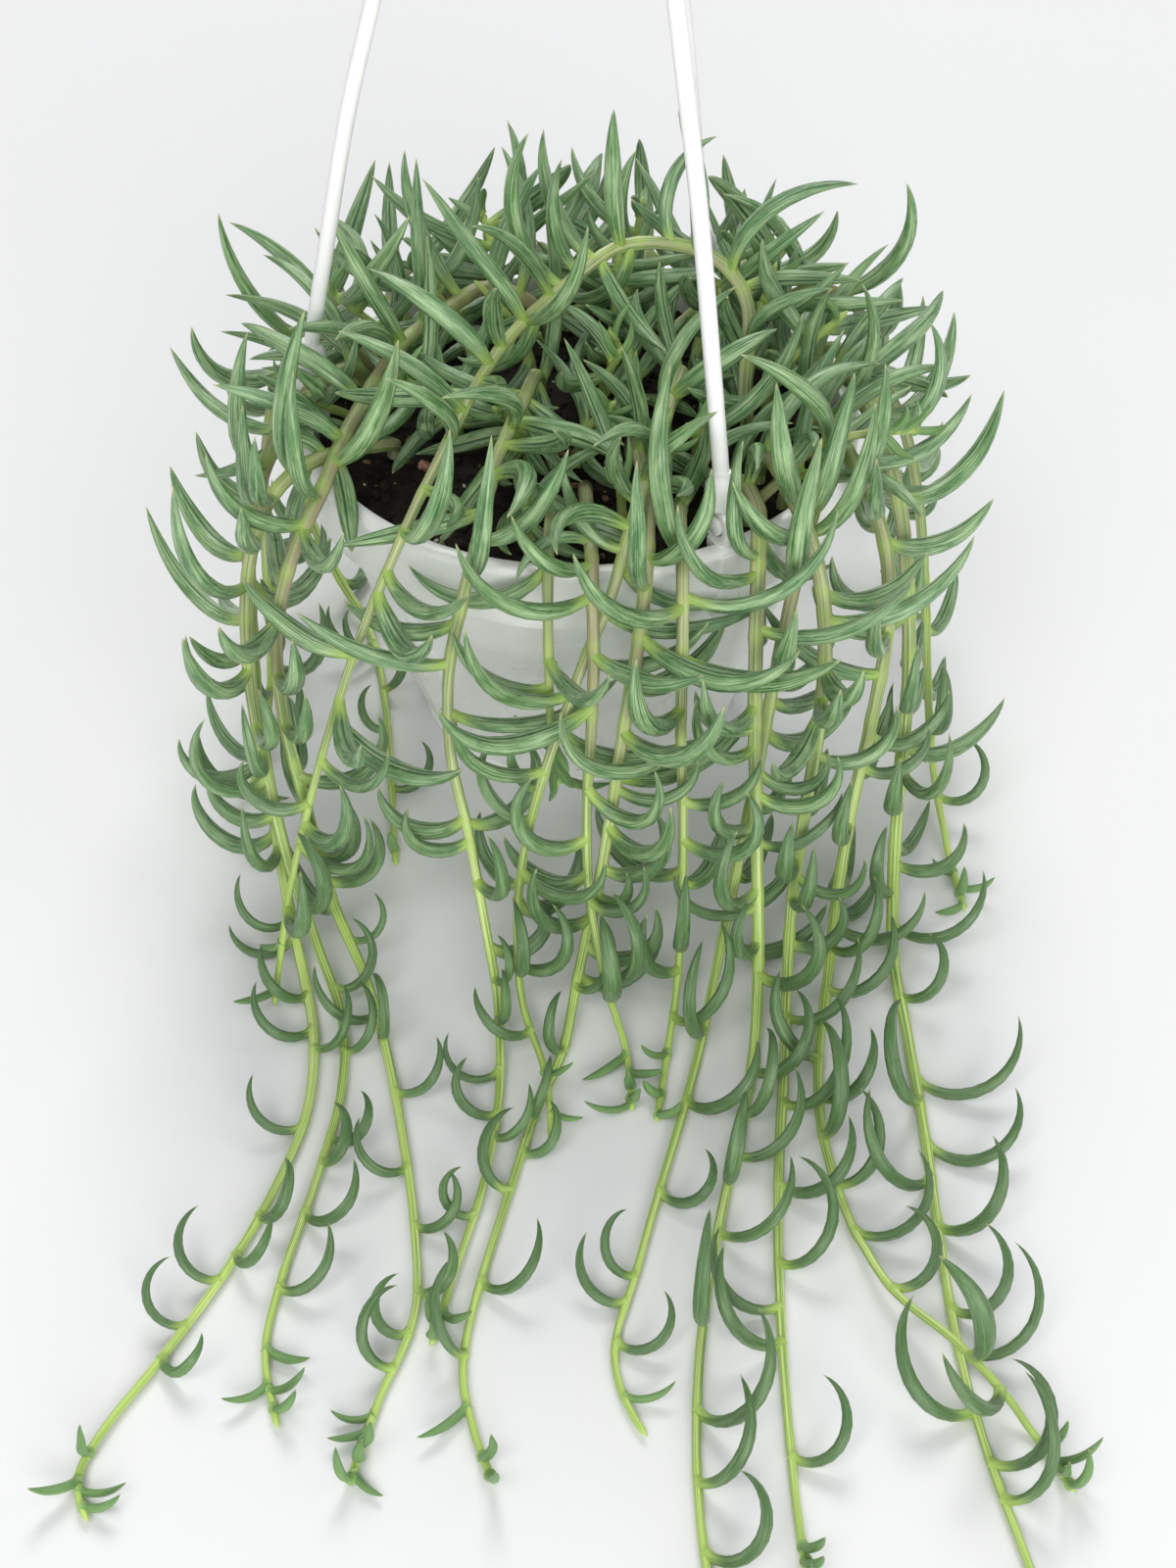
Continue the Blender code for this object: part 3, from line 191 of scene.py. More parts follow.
# The crown stays open over this line, so that the soil and the stub show there
BARE_LINE = ((-46.0, -36.0, 98.0), (-44.0, -78.0, 136.0))
BARE_RADIUS = 9.5

# These stems lie on top of the crown: no leaf passes through the space just over them
TOP_STEMS = ("stem_arch", "stem_purple", "stem_front_left", "stem_front")
TOP_SPACE = (0.0, -6.0, 7.0)
TOP_RADIUS = 3.0

GAP = 0.3  # between pieces that touch

# Every stem: where it stands in the soil, then the points it passes, in millimetres.
# The long ones climb over the rim, hang clear of the pot and run on along the surface.
LONG_STEMS = {
    "stem_arch": ((48, -6), [
        (47, -3, 106), (48, 20, 122), (36, 30, 132), (15, 26, 137), (1, 14, 135), (-21, -17, 129),
        (-38, -62, 118), (-47, -80, 106), (-57, -88, 84), (-68, -96, 52), (-75, -106, 26),
        (-79, -122, 8), (-81, -140, 3)]),
    "stem_purple": ((-8, 40), [
        (-12, 34, 112), (-25, 32, 119), (-38, 18, 119), (-50, 1, 118), (-61, -32, 115), (-68, -58, 109),
        (-75, -68, 97), (-80, -76, 78), (-79, -86, 56), (-74, -96, 34), (-67, -112, 14), (-57, -132, 4),
        (-50, -156, 3), (-44, -184, 3), (-39, -212, 3), (-37, -238, 3), (-44, -260, 3),
        (-50, -282, 3)]),
    "stem_front_left": ((-11, 10), [
        (-12, 0, 110), (-15, -32, 121), (-21, -56, 119), (-25, -76, 110), (-29, -90, 100),
        (-33, -98, 82), (-33, -105, 60), (-29, -112, 40), (-25, -124, 20), (-21, -142, 6),
        (-20, -172, 3), (-24, -204, 3), (-31, -228, 3), (-36, -246, 3)]),
    "stem_front": ((28, 10), [
        (29, 0, 111), (23, -38, 118), (15, -72, 114), (9, -88, 103), (1, -98, 86), (-7, -106, 64),
        (-13, -114, 42), (-16, -124, 22), (-15, -142, 7), (-10, -164, 3), (-8, -186, 3)]),
    "stem_middle": ((15, -16), [
        (15, -22, 103), (15, -48, 109), (16, -80, 107), (15, -96, 93), (12, -104, 72), (9, -111, 50),
        (5, -121, 28), (0, -137, 10), (-4, -158, 3), (-13, -190, 3), (-21, -220, 3), (-26, -250, 3),
        (-23, -268, 3), (-18, -282, 3)]),
    "stem_short_hang": ((2, -36), [
        (3, -60, 105), (5, -84, 104), (5, -98, 90), (4, -106, 68), (3, -112, 46), (4, -124, 24),
        (8, -140, 9), (13, -158, 3), (14, -176, 3)]),
    "stem_stub_hang": ((-8, -40), [
        (-9, -62, 104), (-8, -86, 103), (-7, -97, 84), (-6, -101, 62), (-5, -102, 46)]),
    "stem_centre_right": ((28, -42), [
        (27, -62, 104), (27, -84, 104), (27, -97, 88), (27, -104, 66), (28, -112, 44), (28, -124, 22),
        (27, -140, 7), (25, -160, 3), (24, -182, 3)]),
    "stem_right_front": ((50, -26), [
        (54, -44, 109), (58, -62, 109), (63, -76, 97), (65, -84, 78), (64, -92, 56), (61, -102, 36),
        (58, -116, 17), (56, -136, 5), (54, -160, 3), (51, -188, 3), (49, -214, 3), (48, -242, 3),
        (48, -270, 3), (49, -296, 3), (53, -320, 3)]),
    "stem_right_inner": ((62, -16), [
        (64, -36, 106), (60, -62, 106), (56, -78, 92), (52, -88, 72), (48, -99, 50), (43, -112, 28),
        (38, -128, 11), (32, -152, 3), (26, -176, 3), (20, -200, 3), (14, -226, 3), (9, -246, 3),
        (11, -260, 3), (16, -270, 3)]),
    "stem_right_middle": ((42, -32), [
        (43, -52, 107), (44, -76, 106), (45, -90, 91), (46, -99, 70), (47, -108, 48), (48, -120, 26),
        (48, -137, 9), (46, -158, 3), (42, -180, 3), (36, -206, 3), (31, -232, 3), (28, -256, 3),
        (27, -282, 3), (29, -308, 3), (35, -332, 3)]),
    "stem_right_sweep": ((64, -2), [
        (70, -22, 106), (76, -42, 105), (83, -54, 90), (84, -66, 70), (80, -80, 50), (75, -94, 32),
        (71, -110, 15), (67, -134, 4), (63, -158, 3), (62, -182, 3), (66, -208, 3), (74, -232, 5),
        (88, -252, 9.5), (102, -268, 3), (110, -284, 3)]),
    "stem_right_outer": ((64, 20), [
        (74, 4, 109), (82, -18, 106), (88, -36, 93), (91, -50, 72), (92, -62, 50), (90, -78, 30),
        (88, -96, 13), (86, -122, 4), (87, -152, 3), (88, -188, 3), (88, -220, 3), (89, -248, 3),
        (92, -274, 3), (97, -300, 3), (102, -324, 3)]),
    "stem_right_side": ((60, 34), [
        (78, 18, 107), (92, 8, 94), (99, -2, 72), (102, -16, 48), (103, -34, 26), (104, -56, 10),
        (106, -80, 3), (108, -104, 3)]),
    "stem_left_outer": ((-58, 10), [
        (-67, 2, 112), (-78, -12, 112), (-86, -28, 102), (-90, -44, 86), (-90, -58, 66), (-88, -74, 46),
        (-84, -90, 28), (-79, -110, 11), (-73, -132, 3), (-69, -154, 3), (-69, -178, 3), (-75, -202, 3),
        (-84, -226, 3), (-96, -250, 3), (-106, -268, 3), (-110, -281, 3), (-106, -291, 3)]),
    "stem_left_arch": ((-52, -14), [
        (-62, -34, 108), (-74, -48, 111), (-83, -58, 104), (-88, -68, 86), (-88, -80, 62),
        (-84, -93, 40), (-79, -108, 20), (-72, -124, 8), (-63, -146, 3), (-61, -172, 3), (-65, -200, 3),
        (-70, -226, 3), (-72, -248, 3), (-67, -268, 3)]),
    "stem_under_left": ((-44, 38), [
        (-58, 46, 106), (-74, 50, 105), (-85, 54, 88), (-91, 54, 60), (-88, 50, 32), (-78, 40, 10),
        (-68, 24, 3), (-62, 0, 3), (-58, -28, 3), (-55, -56, 3), (-52, -86, 3)]),
    "stem_back_right": ((26, 44), [
        (40, 64, 106), (48, 76, 104), (57, 90, 86), (62, 98, 56), (66, 108, 26), (70, 126, 6),
        (68, 150, 3), (60, 172, 3)]),
    "stem_back": ((-4, 56), [
        (-9, 72, 107), (-13, 86, 102), (-16, 98, 80), (-18, 104, 50), (-20, 114, 22), (-24, 132, 5),
        (-30, 154, 3), (-40, 172, 3)]),
    "stem_back_left": ((-34, 52), [
        (-44, 66, 107), (-52, 76, 102), (-62, 88, 80), (-67, 94, 50), (-72, 104, 22), (-80, 120, 5),
        (-88, 138, 3), (-92, 156, 3)]),
    "stem_back_short": ((16, 60), [
        (20, 76, 106), (23, 90, 96), (25, 98, 74), (26, 103, 46), (28, 106, 26)]),
    "stem_right_rear": ((52, 48), [
        (64, 47, 109), (76, 49, 109), (86, 51, 98), (92, 52, 74), (95, 52, 46), (98, 50, 22),
        (100, 42, 6), (104, 26, 3)]),
    "stem_left_rear": ((-60, 26), [
        (-72, 26, 108), (-83, 26, 102), (-91, 24, 84), (-95, 16, 60), (-95, 4, 36), (-94, -14, 14),
        (-95, -36, 3), (-98, -58, 3)]),
}

# The short shoots of the crown: standing place, height above the soil, and how far and in
# which direction (degrees) the tip leans out.
CROWN_SHOOTS = {
    "shoot_01": ((-30, 24), 34, 22, 150),
    "shoot_02": ((-34, -8), 26, 20, 200),
    "shoot_03": ((-12, -54), 18, 12, 265),
    "shoot_04": ((10, 28), 40, 14, 80),
    "shoot_05": ((34, 28), 34, 24, 50),
    "shoot_06": ((6, -2), 32, 12, 300),
    "shoot_07": ((40, -12), 28, 18, 340),
    "shoot_08": ((-14, -18), 24, 14, 230),
    "shoot_09": ((22, -26), 22, 14, 280),
    "shoot_10": ((-50, 24), 30, 24, 170),
    "shoot_11": ((46, 44), 30, 26, 40),
    "shoot_12": ((-22, 58), 28, 24, 110),
    "shoot_13": ((-62, -4), 20, 18, 200),
    "shoot_14": ((14, 50), 36, 20, 75),
    "shoot_15": ((33, -24), 24, 16, 250),
    "shoot_16": ((54, 6), 32, 22, 10),
    "shoot_17": ((18, 4), 30, 10, 200),
    "shoot_18": ((12, -48), 18, 12, 285),
    "shoot_19": ((-14, 27), 30, 16, 180),
    "shoot_20": ((-22, -2), 24, 12, 260),
    "shoot_21": ((48, 18), 34, 18, 60),
    "shoot_22": ((0, -20), 24, 12, 330),
    "shoot_23": ((56, -38), 22, 16, 320),
}
SIDE_SHOOT = ((46, -46), [(54, -46, 108), (68, -44, 116), (84, -40, 117), (97, -35, 115)])

STUB_PLACE = (-38, -26)
STUB_HEIGHT = 7.0
STUB_LEAN = (-5.0, -4.0)
STUB_RADIUS = 1.5


def ring_frames(path):
    """Unit tangents of a path and two sideways directions that turn as little as possible."""
    path = np.asarray(path, float)
    tangents = np.gradient(path, axis=0)
    tangents /= np.linalg.norm(tangents, axis=1)[:, None]
    side = np.cross(tangents[0], (0.0, 0.0, 1.0))
    if np.linalg.norm(side) < 0.2:
        side = np.array((1.0, 0.0, 0.0))
    frames = []
    for tangent in tangents:
        side = side - tangent * side.dot(tangent)
        side /= np.linalg.norm(side)
        frames.append((tangent, side, np.cross(tangent, side)))
    return frames


def distances_along(route):
    """The distance from a route's start to each of its points."""
    return np.concatenate(([0.0], np.cumsum(np.linalg.norm(np.diff(route, axis=0), axis=1))))


def at_mark(mark, marks, rows):
    """The value at a mark between rows that stand at known marks."""
    return np.array([np.interp(mark, marks, rows[:, k]) for k in range(3)])


def polar(radius, degrees, z):
    angle = math.radians(degrees)
    return np.array((radius * math.cos(angle), radius * math.sin(angle), z))


# Stem routes

def smooth_route(points, step):
    """Points a fixed step apart on a smooth curve through the given ones."""
    points = [np.asarray(p, float) for p in points]
    ends = [2 * points[0] - points[1]] + points + [2 * points[-1] - points[-2]]
    fine = []
    for a, b, c, d in zip(ends, ends[1:], ends[2:], ends[3:]):
        for i in range(12):
            t = i / 12
            fine.append(0.5 * ((2 * b) + (c - a) * t + (2 * a - 5 * b + 4 * c - d) * t * t
                               + (3 * b - a - 3 * c + d) * t ** 3))
    fine.append(points[-1])
    fine = np.array(fine)
    run = distances_along(fine)
    count = max(4, int(round(run[-1] / step)) + 1)
    marks = np.linspace(0.0, run[-1], count)
    return np.stack([np.interp(marks, run, fine[:, k]) for k in range(3)], axis=-1)


def soil_height(x, y):
    return SOIL_TOP_Z + SOIL_DOME * (1.0 - (x * x + y * y) / MOUTH_RADIUS ** 2)


def rooted(place, points):
    """A route that stands straight in its hole in the soil before it bends away."""
    x, y = place
    top = soil_height(x, y)
    return [(x, y, top - HOLE_DEPTH + 1.0), (x, y, top - 3.0), (x, y, top + 3.0)] + list(points)


def shoot_route(place, height, lean, degrees):
    x, y = place
    top = soil_height(x, y)
    tip = polar(lean, degrees, 0.0)
    return rooted(place, [(x + tip[0] * 0.25, y + tip[1] * 0.25, top + height * 0.5),
                          (x + tip[0], y + tip[1], top + height)])


def stem_plan():
    """Every stem as [name, route, radius at the foot]."""
    plan = [["shoot_side", smooth_route(rooted(*SIDE_SHOOT), ROUTE_STEP), SHOOT_RADIUS]]
    for name, spec in LONG_STEMS.items():
        plan.append([name, smooth_route(rooted(*spec), ROUTE_STEP), STEM_RADIUS])
    for name, spec in CROWN_SHOOTS.items():
        plan.append([name, smooth_route(shoot_route(*spec), ROUTE_STEP), SHOOT_RADIUS])
    return plan


def pot_section():
    """The outline of pot and soil as (radius, height), for keeping the plant clear."""
    return np.array([(0, 0), (BASE_RADIUS, 0), (BODY_TOP_RADIUS, POT_HEIGHT - COLLAR_HEIGHT - 0.4),
                     (COLLAR_FOOT_RADIUS, POT_HEIGHT - COLLAR_HEIGHT), (RIM_RADIUS, POT_HEIGHT - 1.5),
                     (RIM_RADIUS - 1.5, POT_HEIGHT), (MOUTH_RADIUS, POT_HEIGHT),
                     (MOUTH_RADIUS - 0.6, SOIL_TOP_Z), (0, SOIL_TOP_Z + SOIL_DOME)], float)


def pot_distance(points):
    """Signed distance from points to pot and soil, with the way out in the (radius, height) plane."""
    section = pot_section()
    rho = np.hypot(points[:, 0], points[:, 1])
    flat = np.stack((rho, points[:, 2]), axis=-1)
    best = np.full(len(points), 1e9)
    way = np.zeros((len(points), 2))
    for a, b in zip(section[:-1], section[1:]):
        edge = b - a
        t = np.clip((flat - a) @ edge / (edge @ edge), 0.0, 1.0)
        offset = flat - (a + t[:, None] * edge)
        size = np.linalg.norm(offset, axis=1)
        nearer = size < best
        best[nearer] = size[nearer]
        way[nearer] = offset[nearer] / np.maximum(size[nearer], 1e-6)[:, None]
    outer = np.interp(flat[:, 1], section[1:6, 1], section[1:6, 0])
    top = np.interp(rho, section[6:, 0][::-1], section[6:, 1][::-1])
    inside = (flat[:, 1] < top) & (rho < outer) & (flat[:, 1] > 0) & (flat[:, 1] < POT_HEIGHT)
    sign = np.where(inside, -1.0, 1.0)
    return best * sign, way * sign[:, None], rho


def stub_path():
    """The dry stub's middle line, from inside its hole to its broken end."""
    x, y = STUB_PLACE
    top = soil_height(x, y)
    return [np.array((x, y, top - HOLE_DEPTH + 1.0)), np.array((x, y, top + 1.0)),
            np.array((x + STUB_LEAN[0] * 0.5, y + STUB_LEAN[1] * 0.5, top + STUB_HEIGHT * 0.6)),
            np.array((x + STUB_LEAN[0], y + STUB_LEAN[1], top + STUB_HEIGHT))]


def fixed_capsules():
    """The arms, ears and stub, which the plant keeps clear of, as rows of (start, end, radius)."""
    stub = stub_path()
    rows = [(a, b, STUB_RADIUS) for a, b in zip(stub[1:], stub[2:])]
    for degrees in LUG_ANGLES:
        path = [polar(radius, degrees, z) for radius, z in ARM_PROFILE]
        for a, b in zip(path, path[1:]):
            rows.append((a, b, ARM_RADIUS + 0.3))
        ear = polar(EAR_CIRCLE_RADIUS, degrees, EAR_CENTRE_Z)
        rows.append((ear - (0, 0, 3), ear + (0, 0, 9), EAR_RADIUS + 1.0))
    return rows


def nearest_on_segment(points, a, b):
    edge = b - a
    t = np.clip((points - a) @ edge / (edge @ edge), 0.0, 1.0)
    return a + t[:, None] * edge


def part_stems(plan, rounds=90):
    """Bends crossing stems clear of each other, of the pot, of the hanger and of the surface."""
    routes = [entry[1] for entry in plan]
    first = np.concatenate(routes)
    owner = np.concatenate([np.full(len(route), i) for i, route in enumerate(routes)])
    pinned = np.concatenate([np.arange(len(route)) < 3 for route in routes])
    starts = np.cumsum([0] + [len(route) for route in routes])
    points = first.copy()
    fixed = fixed_capsules()
    for turn in range(rounds):
        offset = points[:, None, :] - points[None, :, :]
        size = np.linalg.norm(offset, axis=2)
        close = (size < STEM_SPACING) & (owner[:, None] != owner[None, :])
        push = np.where(close, (STEM_SPACING - size) / 2, 0.0)
        move = (offset / np.maximum(size, 1e-3)[:, :, None] * push[:, :, None]).sum(axis=1)
        count = np.maximum(close.sum(axis=1), 1)[:, None]
        points = points + PUSH_GAIN * move / count
        points[pinned] = first[pinned]
        shift = points - first
        weight = SMOOTH_EARLY if turn < rounds * EARLY_SHARE else SMOOTH_LATE
        for s, e in zip(starts[:-1], starts[1:]):
            mean = (shift[s:e - 2] + shift[s + 2:e]) / 2
            shift[s + 1:e - 1] += weight * (mean - shift[s + 1:e - 1])
        points = first + shift
        distance, way, rho = pot_distance(points)
        short = np.maximum(STEM_RADIUS + POT_CLEARANCE - distance, 0.0)
        short[pinned] = 0.0
        radial = points[:, :2] / np.maximum(rho, 1e-6)[:, None]
        points[:, :2] += radial * (way[:, 0] * short)[:, None]
        points[:, 2] += way[:, 1] * short
        for a, b, radius in fixed:
            near = nearest_on_segment(points, a, b)
            gap = points - near
            size = np.linalg.norm(gap, axis=1)
            need = np.maximum(radius + STEM_RADIUS + HANGER_CLEARANCE - size, 0.0)
            need[pinned] = 0.0
            points += gap / np.maximum(size, 1e-3)[:, None] * need[:, None]
        floor = STEM_RADIUS + FLOOR_GAP
        points[:, 2] = np.maximum(points[:, 2], floor)
    for i, entry in enumerate(plan):
        entry[1] = points[starts[i]:starts[i + 1]]


def stem_radii(route, radius):
    """The stem's radius along its route: even, then thinner over the last part."""
    run = distances_along(route)
    left = run[-1] - run
    taper = np.clip(left / min(TAPER_LENGTH, run[-1]), 0.0, 1.0) ** TAPER_POWER
    return STEM_TIP_RADIUS + (radius - STEM_TIP_RADIUS) * taper


def settle(route, radii):
    """Lowers a stem's thinner end so that it still lies on the surface."""
    lying = route[:, 2] < STEM_RADIUS + 1.2
    settled = route.copy()
    settled[lying, 2] -= STEM_RADIUS - radii[lying]
    settled[:, 2] = np.maximum(settled[:, 2], radii + FLOOR_GAP)
    return settled


# Leaves

def segment_gap(a0, a1, b0, b1):
    """Shortest distances between every segment of one set and every segment of another."""
    d1 = (a1 - a0)[:, None, :]
    d2 = (b1 - b0)[None, :, :]
    r = a0[:, None, :] - b0[None, :, :]
    a = (d1 * d1).sum(-1)
    e = (d2 * d2).sum(-1)
    f = (d2 * r).sum(-1)
    c = (d1 * r).sum(-1)
    b = (d1 * d2).sum(-1)
    denom = np.maximum(a * e - b * b, 1e-9)
    s = np.clip((b * f - c * e) / denom, 0.0, 1.0)
    t = np.clip((b * s + f) / np.maximum(e, 1e-9), 0.0, 1.0)
    s = np.clip((b * t - c) / np.maximum(a, 1e-9), 0.0, 1.0)
    gap = r + d1 * s[:, :, None] - d2 * t[:, :, None]
    return np.sqrt((gap * gap).sum(-1))


def leaf_width(s, half_width):
    """Half the leaf's width at s from root (0) to tip (1)."""
    if s < LEAF_WIDEST_AT:
        t = s / LEAF_WIDEST_AT
        return LEAF_ROOT_RADIUS + (half_width - LEAF_ROOT_RADIUS) * (1.0 - (1.0 - t) ** 2.2)
    t = (s - LEAF_WIDEST_AT) / (1.0 - LEAF_WIDEST_AT)
    return half_width * max(0.0, 1.0 - t ** 2.0) ** 0.85


def leaf_angle(size, s):
    """How far the leaf has turned from its heading towards its hook at s."""
    _, _, start, end, bend = size
    return start + (end - start) * s ** bend


def leaf_axis(base, heading, hook, size, s):
    """The point at s on a leaf that leaves its stem along heading and bends towards hook."""
    steps = 24
    point = np.array(base, float)
    for i in range(steps):
        part = min(1.0, max(0.0, s * steps - i))
        angle = leaf_angle(size, (i + 0.5) / steps)
        point = point + (heading * math.cos(angle) + hook * math.sin(angle)) * (size[0] / steps * part)
    return point


def zone_of(name, point, tip_left):
    """Which kind of leaf grows here: crown, arching, shoulder, hanging, lying or young tip."""
    if tip_left < (SHOOT_TIP_LENGTH if name in CROWN_SHOOTS else TIP_LENGTH):
        return "tip"
    if point[2] < LYING_BELOW:
        return "lying"
    if point[2] > SOIL_TOP_Z - 2.0 and math.hypot(point[0], point[1]) < RIM_RADIUS - 1.0:
        return "crown" if name in CROWN_SHOOTS else "arching"
    if point[2] > SHOULDER_ABOVE:
        return "shoulder"
    return "hanging"


# For each zone: leaf length, half width, first and last angle of its bend in degrees, and how
# early it bends (under 1 most of the bend is near the root)
LEAF_KINDS = {
    "crown": ((34.0, 49.0), (2.2, 2.9), (-35.0, 10.0), (20.0, 85.0), (0.4, 1.0)),
    "arching": ((36.0, 51.0), (2.3, 3.0), (-30.0, 5.0), (35.0, 100.0), (0.5, 1.0)),
    "shoulder": ((36.0, 54.0), (2.4, 3.3), (-35.0, -5.0), (45.0, 105.0), (0.5, 1.1)),
    "hanging": ((28.0, 41.0), (2.0, 2.8), (-45.0, -20.0), (95.0, 150.0), (0.7, 1.1)),
    "lying": ((20.0, 30.0), (1.35, 1.75), (-50.0, -20.0), (105.0, 165.0), (0.7, 1.1)),
    "tip": ((9.0, 16.0), (1.1, 1.5), (-10.0, 5.0), (30.0, 85.0), (0.8, 1.0)),
}
# How far the leaves lean along their stem
LEAF_LEAN = {"crown": 0.0, "arching": 0.2, "shoulder": 0.25, "hanging": 0.2, "lying": 0.25, "tip": 0.9}


def leaf_directions(point, tangent, zone, azimuth, sway):
    """Heading and hook directions of a leaf at an azimuth round its stem."""
    up = np.array((0.0, 0.0, 1.0))
    rho = max(math.hypot(point[0], point[1]), 1e-6)
    outward = np.array((point[0] / rho, point[1] / rho, 0.0))
    if zone in ("lying", "tip") and point[2] < LYING_BELOW:
        first = np.cross(tangent, up)
        wish = up * LYING_RISE - tangent
    elif zone in ("crown", "arching"):
        first = outward
        wish = up * CROWN_RISE + outward * CROWN_SPREAD * (rho / RIM_RADIUS) + np.cross(outward, up) * sway
    else:
        first = outward
        wish = up * HANG_RISE - tangent * HANG_BACK + outward * HANG_SPREAD
    first = first - tangent * first.dot(tangent)
    if np.linalg.norm(first) < 0.15:
        first = up - tangent * up.dot(tangent)
    first /= np.linalg.norm(first)
    second = np.cross(first, tangent)
    if second[2] < 0 and zone in ("lying", "tip"):
        second = -second
    heading = first * math.cos(azimuth) + second * math.sin(azimuth)
    heading = heading + tangent * LEAF_LEAN[zone]
    heading /= np.linalg.norm(heading)
    hook = wish - heading * wish.dot(heading)
    if np.linalg.norm(hook) < 0.2:
        hook = up - heading * up.dot(heading)
    hook /= np.linalg.norm(hook)
    return heading, hook


def azimuth_choices(zone, index, out_x, rng):
    """The azimuths to try for a leaf, best first."""
    side = 1 if index % 2 else -1
    if zone == "lying":
        base = rng.uniform(10.0, 42.0)
        if out_x > ONE_SIDED_X:
            side = -1 if rng.random() < ONE_SIDED_SHARE else 1
        base = base if side > 0 else 180.0 - base
        spread = (0, 18, 36, -4, 55)
        swap = 180.0 - base
    elif zone in ("arching", "shoulder", "hanging"):
        base = side * rng.uniform(45.0, 110.0)
        spread = (0, 20, -20, 40, -40)
        swap = -base
    else:
        base = index * 137.5 + rng.uniform(-20.0, 20.0)
        spread = (0, 25, -25, 55, -55)
        swap = base + 180.0
    tries = [base + step * side for step in spread] + [swap + step * side for step in spread]
    return [math.radians(value) for value in tries]


class Thicket:
    """The solids that a new leaf has to keep clear of, as capsules."""

    def __init__(self):
        self.clearance = LEAF_CLEARANCE
        self.rows = []
        self.packed = None

    def add(self, start, end, radius, owner, place):
        self.rows.append((start, end, radius, owner, place))
        self.packed = None

    def arrays(self):
        if self.packed is None:
            self.packed = [np.array(column) for column in zip(*self.rows)]
        return self.packed

    def clear(self, path, radii, owner, place):
        """True if a leaf, rooted at a place along its own stem, meets nothing."""
        distance, _, _ = pot_distance(path)
        if (distance - radii - self.clearance).min() < 0.0:
            return False
        if (path[2:, 2] - radii[2:]).min() < FLOOR_GAP or (path[1, 2] - radii[1]) < FLOOR_GAP:
            return False
        starts, ends, sizes, owners, places = self.arrays()
        middle = path.mean(axis=0)
        reach = np.linalg.norm(path - middle, axis=1).max() + 26.0
        near = np.linalg.norm((starts + ends) / 2 - middle, axis=1) < reach
        near &= ~((owners == owner) & (np.abs(places - place) < OWN_REACH))
        if not near.any():
            return True
        gap = segment_gap(path[:-1], path[1:], starts[near], ends[near])
        thick = np.maximum(radii[:-1], radii[1:])[:, None] + sizes[near][None, :]
        margin = np.where(owners[near] == owner, OWN_CLEARANCE, self.clearance)
        return bool((gap - thick - margin[None, :]).min() > 0.0)


def leaf_marks(name, route):
    """Distances along a stem where leaves stand, closer in the crown and towards its young tip."""
    run = distances_along(route)
    marks = []
    at = HOLE_DEPTH + 5.0
    while at < run[-1] - 1.5:
        point = at_mark(at, run, route)
        zone = zone_of(name, point, run[-1] - at)
        step = LEAF_STEPS.get(zone, LEAF_SPACING)
        marks.append((at, step))
        at += step
    return run, marks


def settled_plant():
    """The stems' plan, clear of each other and settled, and the thicket that leaves grow in."""
    plan = stem_plan()
    part_stems(plan)
    thicket = Thicket()
    for a, b, radius in fixed_capsules():
        thicket.add(a, b, radius, -1, 0.0)
    thicket.add(np.array(BARE_LINE[0]), np.array(BARE_LINE[1]), BARE_RADIUS, -1, 0.0)
    for owner, entry in enumerate(plan):
        radii = stem_radii(entry[1], entry[2])
        route = entry[1] = settle(entry[1], radii)
        run = distances_along(route)
        for k in range(len(run) - 1):
            place = (run[k] + run[k + 1]) / 2
            thicket.add(route[k], route[k + 1], radii[k] + 0.4, owner, place)
            if entry[0] in TOP_STEMS and route[k][2] > POT_HEIGHT:
                thicket.add(route[k] + TOP_SPACE, route[k + 1] + TOP_SPACE, TOP_RADIUS, owner, place)
    return plan, thicket


def grow_leaves(plan, thicket, offset, seed, shares=None):
    """Places leaves on every stem; returns (owner, base, heading, hook, sizes) for each.
    With shares, only that share of each zone's leaves is tried."""
    grown = []
    for owner, (name, route, _) in enumerate(plan):
        rng = random.Random(seed + owner)
        choice = random.Random(seed - owner)
        run, marks = leaf_marks(name, route)
        tangents = np.array([frame[0] for frame in ring_frames(route)])
        for index, (mark, step) in enumerate(marks):
            mark = mark + (offset + rng.uniform(-0.15, 0.15)) * step
            if mark > run[-1] - 1.0:
                continue
            base = at_mark(mark, run, route)
            tangent = at_mark(mark, run, tangents)
            tangent /= np.linalg.norm(tangent)
            zone = zone_of(name, base, run[-1] - mark)
            if shares and choice.random() > shares[zone]:
                continue
            length, half_width, start, end, bend = [rng.uniform(*limits) for limits in LEAF_KINDS[zone]]
            sway = rng.uniform(-CROWN_SWAY, CROWN_SWAY)
            if zone == "lying" and base[0] > ONE_SIDED_X:
                length *= RIGHT_GROWTH
                half_width *= math.sqrt(RIGHT_GROWTH)
            tries = azimuth_choices(zone, index, base[0], rng)
            for attempt in range(LEAF_TRIES):
                azimuth = tries[attempt % len(tries)]
                scale = 1.0 - 0.2 * (attempt // len(tries))
                heading, hook = leaf_directions(base, tangent, zone, azimuth, sway)
                size = (length * scale, half_width * (0.5 + 0.5 * scale),
                        math.radians(start), math.radians(end), bend)
                places = [i / LEAF_CAPSULES for i in range(LEAF_CAPSULES + 1)]
                path = np.array([leaf_axis(base, heading, hook, size, s) for s in places])
                radii = np.array([leaf_width(s, size[1]) for s in places])
                if thicket.clear(path[1:], radii[1:], owner, mark):
                    for k in range(1, LEAF_CAPSULES):
                        thicket.add(path[k], path[k + 1], max(radii[k], radii[k + 1]), owner, -1000.0)
                    grown.append((owner, base, heading, hook, size))
                    break
    return grown


# The object's own fine surfaces

